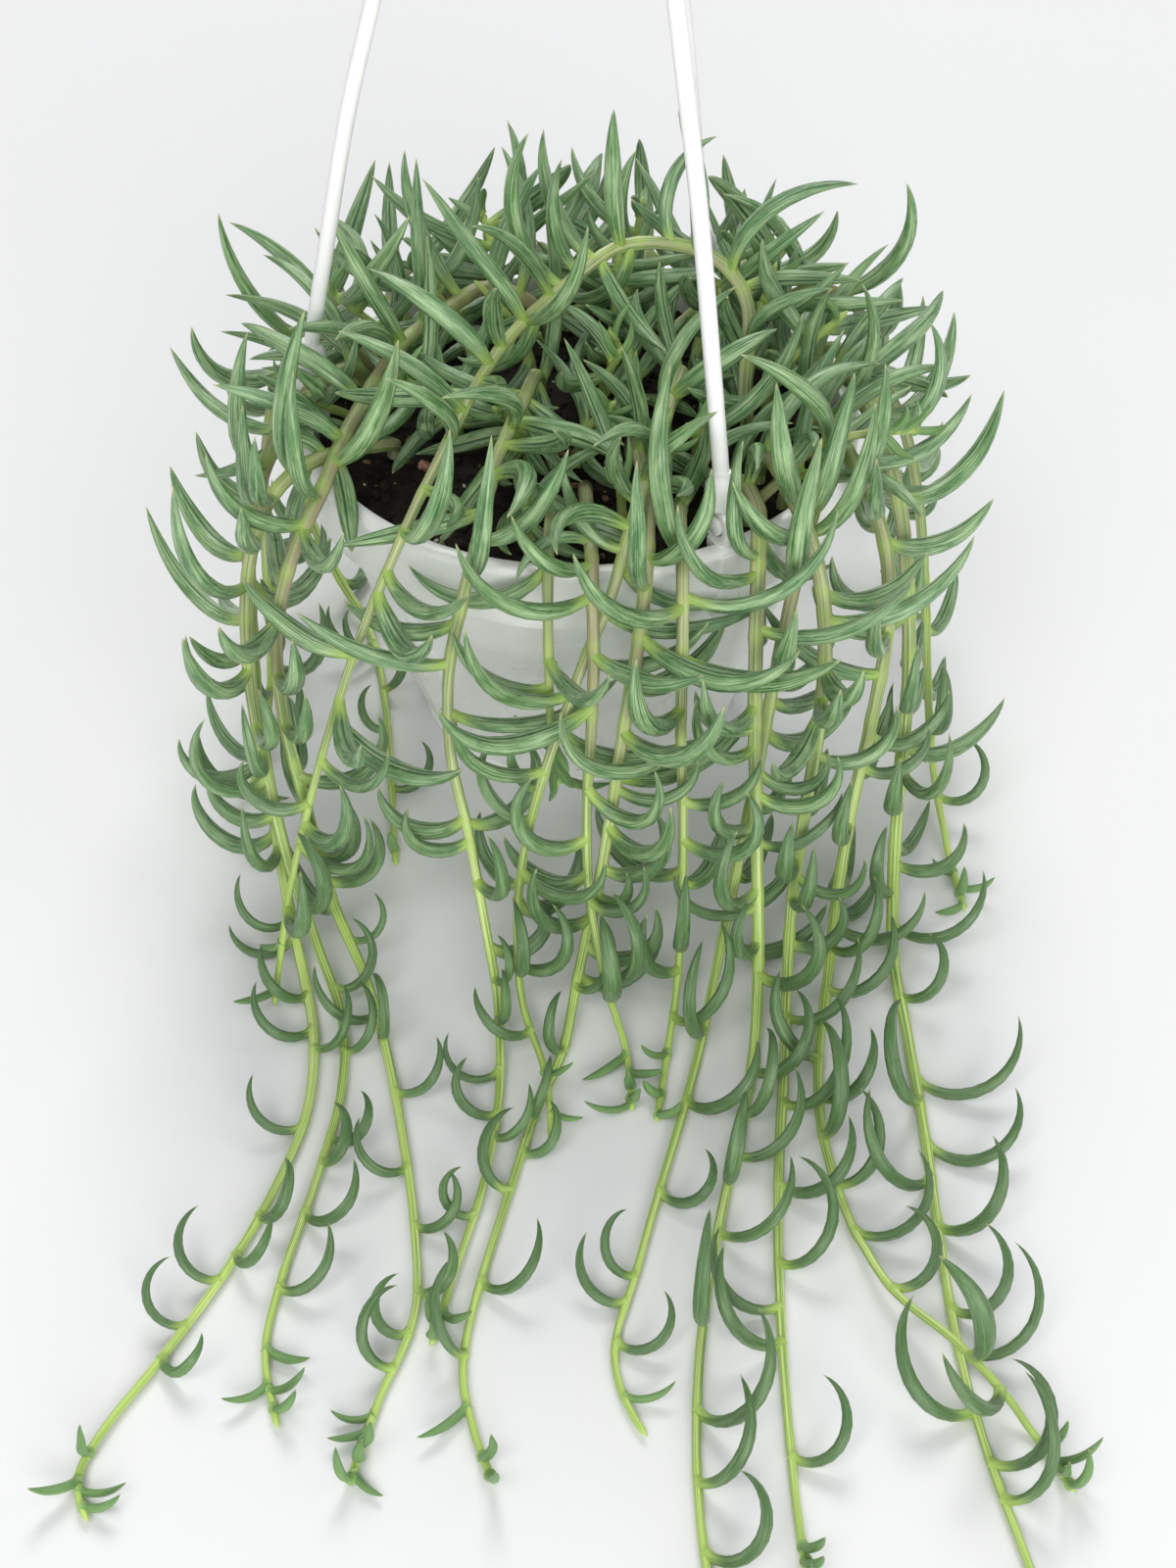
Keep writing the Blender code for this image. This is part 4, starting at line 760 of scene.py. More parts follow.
LEAF_SECTIONS = (0.0, 0.03, 0.06, 0.1, 0.16, 0.23, 0.31, 0.4, 0.49, 0.58, 0.66, 0.74, 0.81, 0.87, 0.92,
                 0.96, 0.985)
LEAF_STRIDES = 48        # steps along a leaf's middle line
LEAF_GROOVE = 0.1        # depth of the clear line's groove, as a share of the leaf's half width
GROOVE_WIDTH = 0.32      # and half its width, in radians round the leaf
LEAF_FLARE = 0.45        # how much wider a leaf is at its root
FLARE_REACH = 0.035      # and over which share of its length
LEAF_SWAY = 0.5          # how far a leaf's middle line swings sideways, at most
YOUNG_FROM = 24.0        # leaves shorter than this look young,
YOUNG_SPAN = 10.0        # all the more over this difference
BLOOM_FROM = 8.0         # the height over which leaves and stems look bloomy and leaves lose the darker low green, which is partly painted shade,
BLOOM_SPAN = 60.0        # all the more over this difference
AGED_FROM = 40.0         # and the height over which stems look aged
YOUNG_END = 70.0         # this last part of a stem looks young
FINE_STEP = 1.7          # between a fine stem's rings
JOINT_REACH = 2.2        # of the swelling where a leaf joins, and of a stem's rounded end
JOINT_SWELL = 0.1
STEM_RIDGES = 5
RIDGE_DEPTH = 0.045
RIDGE_TWIST = 0.012      # radians in a millimetre
STEM_AGES = (0.15, 0.8)  # how streaked the oldest part of a stem is, from stem to stem
LEAF_GRAIN = 0.371       # shifts the grain from leaf to leaf
STEM_GRAIN = 0.61        # and from stem to stem
BOX_MARGIN = 1.0         # between the added leaves and the model's box
EXTRA_CLEARANCE = 0.15
# The added leaves also keep out of these spaces in front of the stems that arch over the crown
FRONT_STEMS = ("stem_arch", "stem_purple")
FRONT_SPACES = ((0.0, -13.0, 13.0), (0.0, -20.0, 19.0))
FRONT_RADIUS = 4.0
# Added leaves, set by set: the shift along the stem in spacings, the seed, and each zone's share
EXTRA_SETS = (
    (0.5, 9300, (1.0, 1.0, 0.9, 1.0, 0.35, 0.8)),
    (0.25, 9400, (1.0, 0.5, 0.5, 0.75, 0.0, 0.2)),
    (0.75, 9500, (1.0, 0.5, 0.0, 0.0, 0.0, 0.0)),
)


def new_object(name, points, faces, materials, face_slots=None, millimetres=True):
    """A linked object whose mesh is made from lists of points and faces."""
    mesh = bpy.data.meshes.new(name)
    points = np.asarray(points, float) * (MM if millimetres else 1.0)
    mesh.from_pydata(points.tolist(), [], faces)
    for material in materials:
        mesh.materials.append(material)
    if face_slots is not None:
        mesh.polygons.foreach_set("material_index", np.asarray(face_slots, np.int32))
    mesh.update()
    thing = bpy.data.objects.new(name, mesh)
    bpy.context.scene.collection.objects.link(thing)
    return thing


def keep_on_points(thing, name, values):
    """Stores a vector or a colour on every point, for the material to read."""
    values = np.asarray(values, np.float32)
    if values.shape[1] == 3:
        thing.data.attributes.new(name, "FLOAT_VECTOR", "POINT").data.foreach_set("vector", values.ravel())
    else:
        thing.data.attributes.new(name, "FLOAT_COLOR", "POINT").data.foreach_set("color", values.ravel())


def smooth(thing, degrees=40.0):
    thing.data.shade_smooth()
    thing.data.set_sharp_from_angle(angle=math.radians(degrees))


def ring_faces(rings, sides, closed=False):
    """Quads between consecutive rings of points; closed joins the last ring to the first."""
    faces = []
    for k in range(rings if closed else rings - 1):
        a = k * sides
        b = ((k + 1) % rings) * sides
        for i in range(sides):
            j = (i + 1) % sides
            faces.append((a + i, a + j, b + j, b + i))
    return faces


def end_faces(rings, sides):
    """The two faces that close the ends of a row of rings."""
    return [tuple(reversed(range(sides))), tuple((rings - 1) * sides + i for i in range(sides))]


def lofted(path, radii, sides):
    """Points and faces of a capped tube."""
    angles = 2 * math.pi * np.arange(sides) / sides
    rows = []
    for centre, radius, (_, side, up) in zip(path, radii, ring_frames(path)):
        rows.append(np.asarray(centre) + np.outer(np.cos(angles), side) * radius
                    + np.outer(np.sin(angles), up) * radius)
    return np.concatenate(rows), ring_faces(len(path), sides) + end_faces(len(path), sides)


def lathed(profile, sides, centre=(0.0, 0.0), shape=None, lift=None):
    """Points and faces of a closed turned body. shape may change a point's radius, and a
    height of None in the profile stands for the one that lift gives at each place."""
    def spot(radius, height, angle):
        r = shape(radius, height, angle) if shape else radius
        x, y = centre[0] + r * math.cos(angle), centre[1] + r * math.sin(angle)
        return x, y, lift(x, y) if height is None else height

    points = [spot(*profile[0], 0.0)]
    for radius, height in profile[1:-1]:
        points += [spot(radius, height, 2 * math.pi * i / sides) for i in range(sides)]
    points.append(spot(*profile[-1], 0.0))
    rings = len(profile) - 2
    faces = [tuple(1 + c for c in face) for face in ring_faces(rings, sides)]
    end = 1 + (rings - 1) * sides
    for i in range(sides):
        j = (i + 1) % sides
        faces.append((0, 1 + j, 1 + i))
        faces.append((end + i, end + j, len(points) - 1))
    return points, faces


def rounded_ring(centre, axis, out, hole, outer, thickness, sides=40, section=14, squareness=0.55):
    """A ring of rounded square section whose hole runs along an axis. A squareness of 1 is round."""
    up = np.cross(axis, out)
    half = thickness / 2
    middle = (outer + hole) / 2
    reach = (outer - hole) / 2
    points = []
    for i in range(sides):
        angle = 2 * math.pi * i / sides
        radial = out * math.cos(angle) + up * math.sin(angle)
        for k in range(section):
            turn = 2 * math.pi * k / section
            c, s = math.cos(turn), math.sin(turn)
            r = middle + reach * math.copysign(abs(c) ** squareness, c)
            points.append(centre + radial * r + axis * half * math.copysign(abs(s) ** squareness, s))
    faces = [tuple(reversed(face)) for face in ring_faces(sides, section, closed=True)]
    return points, faces


def rounded_block(centre, axes, sizes, radius):
    """A box whose four long edges and ends are rounded off, as points and faces."""
    half = [size / 2 for size in sizes]
    outline = []
    for sx, sy, start in ((1, 1, 0), (-1, 1, 90), (-1, -1, 180), (1, -1, 270)):
        for k in range(5):
            turn = math.radians(start + 22.5 * k)
            outline.append((sx * (half[0] - radius) + radius * math.cos(turn),
                            sy * (half[1] - radius) + radius * math.sin(turn)))
    levels = [(-half[2], 1.0 - radius * 0.6 / half[0]), (-half[2] + radius * 0.6, 1.0),
              (half[2] - radius * 0.6, 1.0), (half[2], 1.0 - radius * 0.6 / half[0])]
    points = []
    for level, share in levels:
        for x, y in outline:
            points.append(centre + axes[0] * x * share + axes[1] * y * share + axes[2] * level)
    sides = len(outline)
    return points, ring_faces(len(levels), sides) + end_faces(len(levels), sides)


def rounded_end(left, reach, least):
    """Shares of a rod's radius that round its end off, from the distances left to the end."""
    return np.sqrt(np.clip(1.0 - (1.0 - np.clip(left / reach, 0.0, 1.0)) ** 2, least, 1.0))


def combine(thing, others, operation):
    """One applied Boolean with all the other solids, which are then removed."""
    tools = bpy.data.collections.new("tools")
    bpy.context.scene.collection.children.link(tools)
    for other in others:
        bpy.context.scene.collection.objects.unlink(other)
        tools.objects.link(other)
    modifier = thing.modifiers.new("Boolean", "BOOLEAN")
    modifier.operation = operation
    modifier.operand_type = "COLLECTION"
    modifier.collection = tools
    modifier.solver = "EXACT"
    bpy.context.view_layer.update()
    depsgraph = bpy.context.evaluated_depsgraph_get()
    mesh = bpy.data.meshes.new_from_object(thing.evaluated_get(depsgraph))
    thing.modifiers.clear()
    thing.data = mesh
    for other in list(tools.objects):
        bpy.data.objects.remove(other)
    bpy.data.collections.remove(tools)


def place(thing, slot, *nodes):
    """Rides a piece on the object's body, in the stead of CAD nodes. The slot argument is not used."""
    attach(thing, "root")
    if nodes:
        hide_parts(*nodes)


# Finishes

class Finish:
    """A node material under construction, with its Principled shader as its base."""

    def __init__(self, name):
        self.material = bpy.data.materials.new(name)
        self.material.use_nodes = True
        self.tree = self.material.node_tree
        self.shader = self.tree.nodes["Principled BSDF"]

    def node(self, kind, inputs=None, **settings):
        made = self.tree.nodes.new(kind)
        for key, value in settings.items():
            setattr(made, key, value)
        for key, value in (inputs or {}).items():
            self.set(made.inputs[key], value)
        return made

    def set(self, socket, value):
        if isinstance(value, bpy.types.NodeSocket):
            self.tree.links.new(value, socket)
        elif isinstance(value, bpy.types.Node):
            self.tree.links.new(value.outputs[0], socket)
        else:
            socket.default_value = value

    def skin(self, **values):
        """Sets the shader's sockets by name, spaces written as underscores."""
        for key, value in values.items():
            self.set(self.shader.inputs[key.replace("_", " ")], value)

    def noise(self, vector, scale, detail=2.0, roughness=0.5):
        return self.node("ShaderNodeTexNoise", {"Vector": vector, "Scale": scale, "Detail": detail,
                                                "Roughness": roughness})

    def math(self, operation, a, b=0.0):
        return self.node("ShaderNodeMath", {0: a, 1: b}, operation=operation)

    def times(self, a, b):
        return self.math("MULTIPLY", a, b)

    def span(self, value, low, high, new_low=0.0, new_high=1.0, kind="SMOOTHSTEP"):
        return self.node("ShaderNodeMapRange", {"Value": value, "From Min": low, "From Max": high,
                                                "To Min": new_low, "To Max": new_high},
                         interpolation_type=kind)

    def stretch(self, vector, x, y, z):
        return self.node("ShaderNodeVectorMath", {0: vector, 1: (x, y, z)}, operation="MULTIPLY")

    def mix(self, factor, a, b):
        """A colour mix; a and b are colours or sockets."""
        made = self.tree.nodes.new("ShaderNodeMix")
        made.data_type = "RGBA"
        self.set(made.inputs[0], factor)
        for socket, value in ((made.inputs[6], a), (made.inputs[7], b)):
            is_colour = not isinstance(value, (bpy.types.NodeSocket, bpy.types.Node))
            self.set(socket, (*value, 1.0) if is_colour else value)
        return made.outputs[2]

    def bump(self, height, strength, distance):
        return self.node("ShaderNodeBump", {"Height": height, "Strength": strength, "Distance": distance})

    def kept_values(self):
        """What the points keep for their skin: the grain, and the tone's four values."""
        grain = self.node("ShaderNodeAttribute", attribute_name="grain").outputs["Vector"]
        tone = self.node("ShaderNodeAttribute", attribute_name="tone").outputs
        parts = self.node("ShaderNodeSeparateColor", {0: tone["Color"]}).outputs
        return grain, *parts, tone["Alpha"]


def leaf_finish(settings):
    """Waxy leaf skin: fine dark lines lengthwise, a clear line inside the bend, lime foot and tip; painted
    highlights in patches, on the ridges and beside the clear line; a darker green on low leaves that is
    partly painted shade.
    """
    f = Finish("leaf_skin")
    grain, along, chance, young, bloom = f.kept_values()
    round_leaf = f.node("ShaderNodeSeparateXYZ", {0: grain})
    lines = f.noise(f.stretch(grain, 11.0, 11.0, 36.0), 1.0, 1.5, 0.55)
    fine_lines = f.noise(f.stretch(grain, 20.0, 20.0, 70.0), 1.0, 2.0, 0.6)
    patches = f.noise(f.stretch(grain, 1.2, 1.2, 90.0), 1.0, 3.0, 0.6)
    colour = f.mix(chance, settings.leaf_colour, settings.leaf_blue)
    shade_chance = f.math("FRACT", f.times(chance, 7.3))
    colour = f.mix(f.span(shade_chance, 0.0, 1.0, 0.0, 0.4, "LINEAR"), colour, settings.low_leaf_green_and_shade)
    colour = f.mix(f.span(shade_chance, 0.8, 1.0, 0.0, 0.5, "LINEAR"), colour, settings.young_leaf)
    # Painted highlight: lit patches in the highlight colour, up to 0.8 strong
    colour = f.mix(f.span(patches, 0.35, 0.7, 0.0, 0.8), colour, settings.leaf_highlight)
    # Low leaves take a smoother, darker green: partly their own green, partly painted shade
    low = f.mix(f.span(patches, 0.4, 0.75, 0.0, 0.3), settings.low_leaf_green_and_shade, colour)
    colour = f.mix(bloom, low, colour)
    lined = f.span(bloom, 0.0, 1.0, 0.4, 1.0, "LINEAR")
    dark_lines = f.times(f.span(lines, 0.38, 0.5, 0.8, 0.0), lined)
    colour = f.mix(dark_lines, colour, settings.leaf_dark)
    # Painted highlight on the ridges between the dark lines
    ridge_highlights = f.times(f.span(lines, 0.54, 0.68, 0.0, 0.4), lined)
    colour = f.mix(ridge_highlights, colour, settings.leaf_highlight)
    thin_lines = f.times(f.span(fine_lines, 0.32, 0.55, 0.4, 0.0), lined)
    colour = f.mix(thin_lines, colour, settings.leaf_dark)
    sideways = f.math("DIVIDE", f.math("ABSOLUTE", round_leaf.outputs[0]),
                      f.math("MAXIMUM", f.times(round_leaf.outputs[1], -1.0), 0.02))
    ends = f.times(f.span(along, 0.04, 0.14), f.span(along, 0.97, 0.86))
    window = f.times(f.span(sideways, 0.2, 0.05), ends)
    colour = f.mix(f.times(window, 0.8), colour, settings.leaf_window)
    # Painted highlight in faint bands beside the clear line
    window_edge_highlight = f.times(f.span(sideways, 0.5, 0.22), f.span(sideways, 0.1, 0.22))
    colour = f.mix(f.times(f.times(window_edge_highlight, ends), 0.3), colour, settings.leaf_highlight)
    lime = f.span(f.math("ADD", along, f.times(patches, -0.2)), 0.1, -0.08)
    colour = f.mix(f.times(lime, 0.9), colour, settings.lime)
    colour = f.mix(f.times(young, 0.7), colour, settings.young_leaf)
    colour = f.mix(f.span(along, 0.94, 0.99, 0.0, 0.85), colour, settings.leaf_tip)
    relief = f.math("ADD", lines, f.times(fine_lines, 0.35))
    relief = f.math("SUBTRACT", relief, f.times(window, 0.8))
    f.skin(Base_Color=colour, Roughness=f.span(patches, 0.3, 0.7, 0.24, 0.38),
           Normal=f.bump(relief, 0.8, 0.0003), Subsurface_Weight=0.04,
           Subsurface_Radius=(0.5, 1.0, 0.25), Subsurface_Scale=0.001, Specular_IOR_Level=0.55)
    return f.material


def stem_finish(settings):
    """Pale ridged stem skin with lime joints and purple-brown streaks where it is old."""
    f = Finish("stem_skin")
    grain, joint, age, young, height = f.kept_values()
    ridges = f.noise(f.stretch(grain, 4.2, 4.2, 12.0), 1.0, 1.5, 0.55)
    thread = f.noise(f.stretch(grain, 14.0, 14.0, 40.0), 1.0, 2.0, 0.6)
    patches = f.noise(f.stretch(grain, 0.9, 0.9, 32.0), 1.0, 3.0, 0.6)
    colour = f.mix(f.times(patches, 0.6), settings.stem_colour, settings.stem_green)
    colour = f.mix(height, settings.low_stem, colour)
    colour = f.mix(f.span(ridges, 0.42, 0.5, 0.95, 0.0), colour, settings.stem_green)
    colour = f.mix(f.span(ridges, 0.54, 0.66, 0.0, 0.6), colour, settings.stem_pale)
    colour = f.mix(f.span(thread, 0.3, 0.55, 0.3, 0.0), colour, settings.stem_green)
    worn = f.math("ADD", ridges, f.times(patches, 0.6))
    streaks = f.times(f.span(worn, 0.66, 0.84), age)
    colour = f.mix(streaks, colour, settings.stem_purple)
    colour = f.mix(f.times(joint, 0.4), colour, settings.lime)
    colour = f.mix(f.times(young, 0.7), colour, settings.young_stem)
    relief = f.math("ADD", ridges, f.times(thread, 0.4))
    f.skin(Base_Color=colour, Roughness=f.span(patches, 0.3, 0.7, 0.4, 0.55),
           Normal=f.bump(relief, 0.6, 0.0002), Subsurface_Weight=0.06,
           Subsurface_Radius=(0.6, 1.0, 0.2), Subsurface_Scale=0.001, Specular_IOR_Level=0.4)
    return f.material


def plastic_finish(name, colour, shade, gloss, specks):
    """Moulded white plastic with a faint waviness, light scuffs and a few specks of dirt."""
    f = Finish(name)
    place_on = f.node("ShaderNodeTexCoord").outputs["Object"]
    cloud = f.noise(place_on, 28.0, 3.0)
    fine = f.noise(place_on, 900.0, 2.0)
    base = f.mix(f.span(cloud, 0.35, 0.7, 0.0, 0.5), colour, shade)
    cells = f.node("ShaderNodeTexVoronoi", {"Vector": place_on, "Scale": 170.0})
    pick = f.node("ShaderNodeSeparateColor", {0: cells.outputs["Color"]})
    spot = f.times(f.span(cells.outputs["Distance"], 0.13, 0.07),
                  f.span(pick.outputs[0], 1.0 - specks, 1.0 - specks + 0.002))
    base = f.mix(f.times(spot, 0.75), base, (0.09, 0.06, 0.045))
    f.skin(Base_Color=base, Roughness=f.span(cloud, 0.3, 0.7, gloss, gloss + 0.12),
           Normal=f.bump(f.math("ADD", cloud, f.times(fine, 0.02)), 0.12, 0.001),
           Subsurface_Weight=0.05, Subsurface_Scale=0.002, Specular_IOR_Level=0.5)
    return f.material


def soil_finish(name, dark, light, share):
    """Crumbly soil or a light bit in it, mottled at two scales."""
    f = Finish(name)
    place_on = f.node("ShaderNodeTexCoord").outputs["Object"]
    coarse = f.noise(place_on, 260.0, 4.0, 0.65)
    fine = f.noise(place_on, 1500.0, 4.0, 0.7)
    base = f.mix(f.span(coarse, 0.4, 0.7, 0.0, share), dark, light)
    base = f.mix(f.span(fine, 0.45, 0.7, 0.0, 0.4), base, light)
    f.skin(Base_Color=base, Roughness=f.span(fine, 0.3, 0.7, 0.8, 0.98),
           Normal=f.bump(f.math("ADD", coarse, f.times(fine, 0.5)), 0.9, 0.0012),
           Specular_IOR_Level=0.25)
    return f.material


def bark_finish(settings):
    """Dry pinkish-brown stem with cracks along it."""
    f = Finish("dry_stub_bark")
    place_on = f.node("ShaderNodeTexCoord").outputs["Object"]
    cracks = f.noise(f.stretch(place_on, 1400.0, 1400.0, 260.0), 1.0, 3.0, 0.6)
    blotches = f.noise(place_on, 300.0, 2.0)
    colour = f.mix(f.span(blotches, 0.35, 0.65), settings.stub_colour, settings.stub_light)
    colour = f.mix(f.span(cracks, 0.4, 0.55, 0.6, 0.0), colour, (0.13, 0.06, 0.04))
    f.skin(Base_Color=colour, Roughness=f.span(blotches, 0.3, 0.7, 0.65, 0.85),
           Normal=f.bump(cracks, 0.8, 0.0004))
    return f.material


# Pot

def inner_profile(gap=0.0):
    """The pot's inside from floor to mouth, drawn in by a gap."""
    return [(BASE_RADIUS - WALL - 0.6 - gap, WALL + gap),
            (BODY_TOP_RADIUS - WALL - gap, POT_HEIGHT - COLLAR_HEIGHT - 2.0)]


def pot_wall(radius, height, angle):
    """Radius of the body's outside: pointed panels in two tiers, cut a little into the cone."""
    panel = 2 * math.pi / POT_PANELS
    part = math.cos(panel / 2)
    upper = radius * part / math.cos((angle + panel / 2) % panel - panel / 2)
    lower = radius - LOWER_TIER_CUT + LOWER_TIER_RISE * height / LOWER_TIER_HEIGHT
    lower = lower * part / math.cos(angle % panel - panel / 2)
    return min(upper, lower)


def pot_shape(radius, height, angle):
    """Changes a turned radius of the pot's outside: panels below, soft waves on the collar."""
    foot = POT_HEIGHT - COLLAR_HEIGHT
    inside = radius < BASE_RADIUS + (BODY_TOP_RADIUS - BASE_RADIUS) * height / foot - 1.0
    if height < foot - 0.5 and not inside and height > 0.5:
        return pot_wall(radius, height, angle)
    if foot + 0.5 < height < POT_HEIGHT - 1.5 and radius > MOUTH_RADIUS + 2.0:
        swell = math.sin(math.pi * (height - foot) / COLLAR_HEIGHT)
        return radius - COLLAR_WAVE * swell * (1.0 - math.cos(POT_PANELS * angle)) / 2
    return radius


def pot_profile():
    """The pot's section from the base's centre, up the outside and down the inside."""
    foot = POT_HEIGHT - COLLAR_HEIGHT
    slope = (BODY_TOP_RADIUS - BASE_RADIUS) / foot
    section = [(0.0, 0.0), (20.0, 0.0), (BASE_RADIUS - 4.0, 0.0), (BASE_RADIUS - 1.4, 0.0)]
    section += [(BASE_RADIUS - 0.6, 0.25), (BASE_RADIUS - 0.1, 0.9)]
    for k in range(1, 40):
        height = 1.2 + (foot - 3.0) * k / 40
        section.append((BASE_RADIUS + slope * height, height))
    section += [(BODY_TOP_RADIUS - 0.4, foot - 1.2), (BODY_TOP_RADIUS - 0.1, foot - 0.6),
                (BODY_TOP_RADIUS + 0.8, foot - 0.15), (COLLAR_FOOT_RADIUS - 1.0, foot),
                (COLLAR_FOOT_RADIUS - 0.3, foot + 0.15), (COLLAR_FOOT_RADIUS, foot + 0.7)]
    collar = COLLAR_HEIGHT - RIM_ROUND - 0.7
    for k in range(1, 10):
        share = k / 10
        radius = COLLAR_FOOT_RADIUS + (RIM_RADIUS - COLLAR_FOOT_RADIUS) * share
        section.append((radius, foot + 0.7 + collar * share))
    for k in range(7):
        turn = math.radians(15.0 * k)
        section.append((RIM_RADIUS - RIM_ROUND + RIM_ROUND * math.cos(turn),
                        POT_HEIGHT - RIM_ROUND + RIM_ROUND * math.sin(turn)))
    section += [(RIM_RADIUS - 3.2, POT_HEIGHT), (MOUTH_RADIUS + 0.8, POT_HEIGHT)]
    section += [(MOUTH_RADIUS + 0.25, POT_HEIGHT - 0.2), (MOUTH_RADIUS, POT_HEIGHT - 0.8)]
    section += [(MOUTH_RADIUS - MOUTH_TAPER, foot + 1.0), *reversed(inner_profile())]
    section += [(30.0, WALL), (0.0, WALL)]
    return section


def clip_axes(degrees):
    out = polar(1.0, degrees, 0.0)
    return out, np.array((-out[1], out[0], 0.0)), np.array((0.0, 0.0, 1.0))


def build_pot(settings):
    white = plastic_finish("pot_plastic_white", settings.plastic, settings.plastic_shade, 0.2, 0.05)
    pot = new_object("hanging_pot", *lathed(pot_profile(), settings.sides, shape=pot_shape), [white])
    additions = []
    for degrees in LUG_ANGLES:
        out, along, up = axes = clip_axes(degrees)
        ear = polar(EAR_CIRCLE_RADIUS, degrees, EAR_CENTRE_Z)
        foot = polar(EAR_CIRCLE_RADIUS, degrees, POT_HEIGHT - 1.6)
        rib_radius = COLLAR_FOOT_RADIUS + RIB_PROUD + 1.0 - RIB_DEPTH / 2
        rib = polar(rib_radius, degrees, POT_HEIGHT - 1.0 - RIB_LENGTH / 2)
        shells = (rounded_ring(ear, along, out, EAR_HOLE_RADIUS, EAR_RADIUS, EAR_THICKNESS),
                  rounded_block(foot, axes, EAR_FOOT_SIZES, 0.9),
                  rounded_block(rib, axes, (RIB_DEPTH, RIB_WIDTH, RIB_LENGTH), 0.8))
        additions += [new_object("addition", *shell, [white]) for shell in shells]
    combine(pot, additions, "UNION")
    cutters = []
    for i in range(DRAIN_HOLES):
        centre = polar(DRAIN_CIRCLE_RADIUS, 360.0 * i / DRAIN_HOLES + 30.0, 0.0)
        ends = [centre - np.array((0, 0, 2.0)), centre + np.array((0, 0, 5.0))]
        cutters.append(new_object("drain", *lofted(ends, [DRAIN_HOLE_RADIUS] * 2, 28), [white]))
    combine(pot, cutters, "DIFFERENCE")
    smooth(pot, 32.0)
    place(pot, "pot_plastic", "pot")


# Hanger

def arm_solids(degrees, finish, sides):
    """The rod, the bottle-shaped shoulder, the tongue and the button of one arm."""
    _, along, _ = axes = clip_axes(degrees)
    path = smooth_route([polar(radius, degrees, z) for radius, z in ARM_PROFILE], 5.0)
    rod = new_object("arm", *lofted(path, [ARM_RADIUS] * len(path), sides), [finish])
    ear_top = EAR_CENTRE_Z + EAR_RADIUS
    foot = ear_top + GAP
    outline = [(0.0, foot), (3.9, foot), (4.3, foot + 0.3), (SHOULDER_RADIUS, foot + 0.9),
               (SHOULDER_RADIUS, foot + 4.6), (4.3, foot + 5.8), (4.0, foot + 6.9), (3.45, foot + 7.9),
               (2.9, foot + 8.7), (2.45, foot + 9.4), (2.3, foot + 10.4), (0.0, foot + 10.8)]
    centre = polar(EAR_CIRCLE_RADIUS, degrees, 0.0)
    others = [new_object("shoulder", *lathed(outline, sides, centre=centre[:2]), [finish])]
    offset = EAR_THICKNESS / 2 + GAP + TONGUE_THICKNESS / 2
    tongue_height = ear_top + 2.5 - TONGUE_FOOT_Z
    tongue = polar(EAR_CIRCLE_RADIUS, degrees, TONGUE_FOOT_Z + tongue_height / 2) + along * offset
    sizes = (TONGUE_WIDTH, TONGUE_THICKNESS, tongue_height)
    others.append(new_object("tongue", *rounded_block(tongue, axes, sizes, 0.6), [finish]))
    ear = polar(EAR_CIRCLE_RADIUS, degrees, EAR_CENTRE_Z)
    back = EAR_THICKNESS / 2 + 0.4
    ends = [ear + along * offset, ear - along * back, ear - along * (back + 0.2)]
    radii = [BUTTON_RADIUS, BUTTON_RADIUS, BUTTON_RADIUS - 0.3]
    others.append(new_object("button", *lofted(ends, radii, 24), [finish]))
    return rod, others


def build_hanger(settings):
    white = plastic_finish("hanger_plastic_white", settings.plastic, settings.plastic_shade, 0.3, 0.02)
    names = ("hanger_arm_left", "hanger_arm_front", "hanger_arm_back")
    for name, degrees in zip(names, LUG_ANGLES):
        rod, others = arm_solids(degrees, white, settings.sides)
        combine(rod, others, "UNION")
        rod.name = rod.data.name = name + "_rod"
        smooth(rod, 38.0)
        place(rod, "hanger_plastic", name)
    top = BOSS_FOOT_Z + BOSS_HEIGHT
    edge = BOSS_FOOT_Z + BOSS_EDGE_HEIGHT
    outline = [(0.0, BOSS_FOOT_Z), (BOSS_RADIUS - 0.5, BOSS_FOOT_Z), (BOSS_RADIUS, BOSS_FOOT_Z + 0.5),
               (BOSS_RADIUS, edge - 0.5), (BOSS_RADIUS - 0.6, edge), (8.0, edge + 2.0),
               (BOSS_TOP_RADIUS, top - 0.9), (4.2, top - 0.1), (3.0, top), (0.0, top)]
    boss = new_object("hanger_boss", *lathed(outline, settings.sides * 2), [white])
    path = [np.array((0.0, 0.0, top - 3.0)), np.array((0.0, 0.0, HOOK_CENTRE_Z - HOOK_RADIUS - 2.0))]
    steps = 40
    for i in range(3, steps + 1):
        angle = math.radians(-90.0 + (HOOK_END_ANGLE + 90.0) * i / steps)
        path.append(np.array((HOOK_RADIUS * math.cos(angle), 0.0,
                              HOOK_CENTRE_Z + HOOK_RADIUS * math.sin(angle))))
    path = smooth_route(path, HOOK_STEP)
    radii = HOOK_ROD_RADIUS * rounded_end(np.arange(len(path))[::-1] * HOOK_STEP, HOOK_ROD_RADIUS, 0.06)
    combine(boss, [new_object("hook_rod", *lofted(path, radii, settings.sides), [white])], "UNION")
    smooth(boss, 38.0)
    place(boss, "hanger_plastic", "hanger_hook")


# Soil

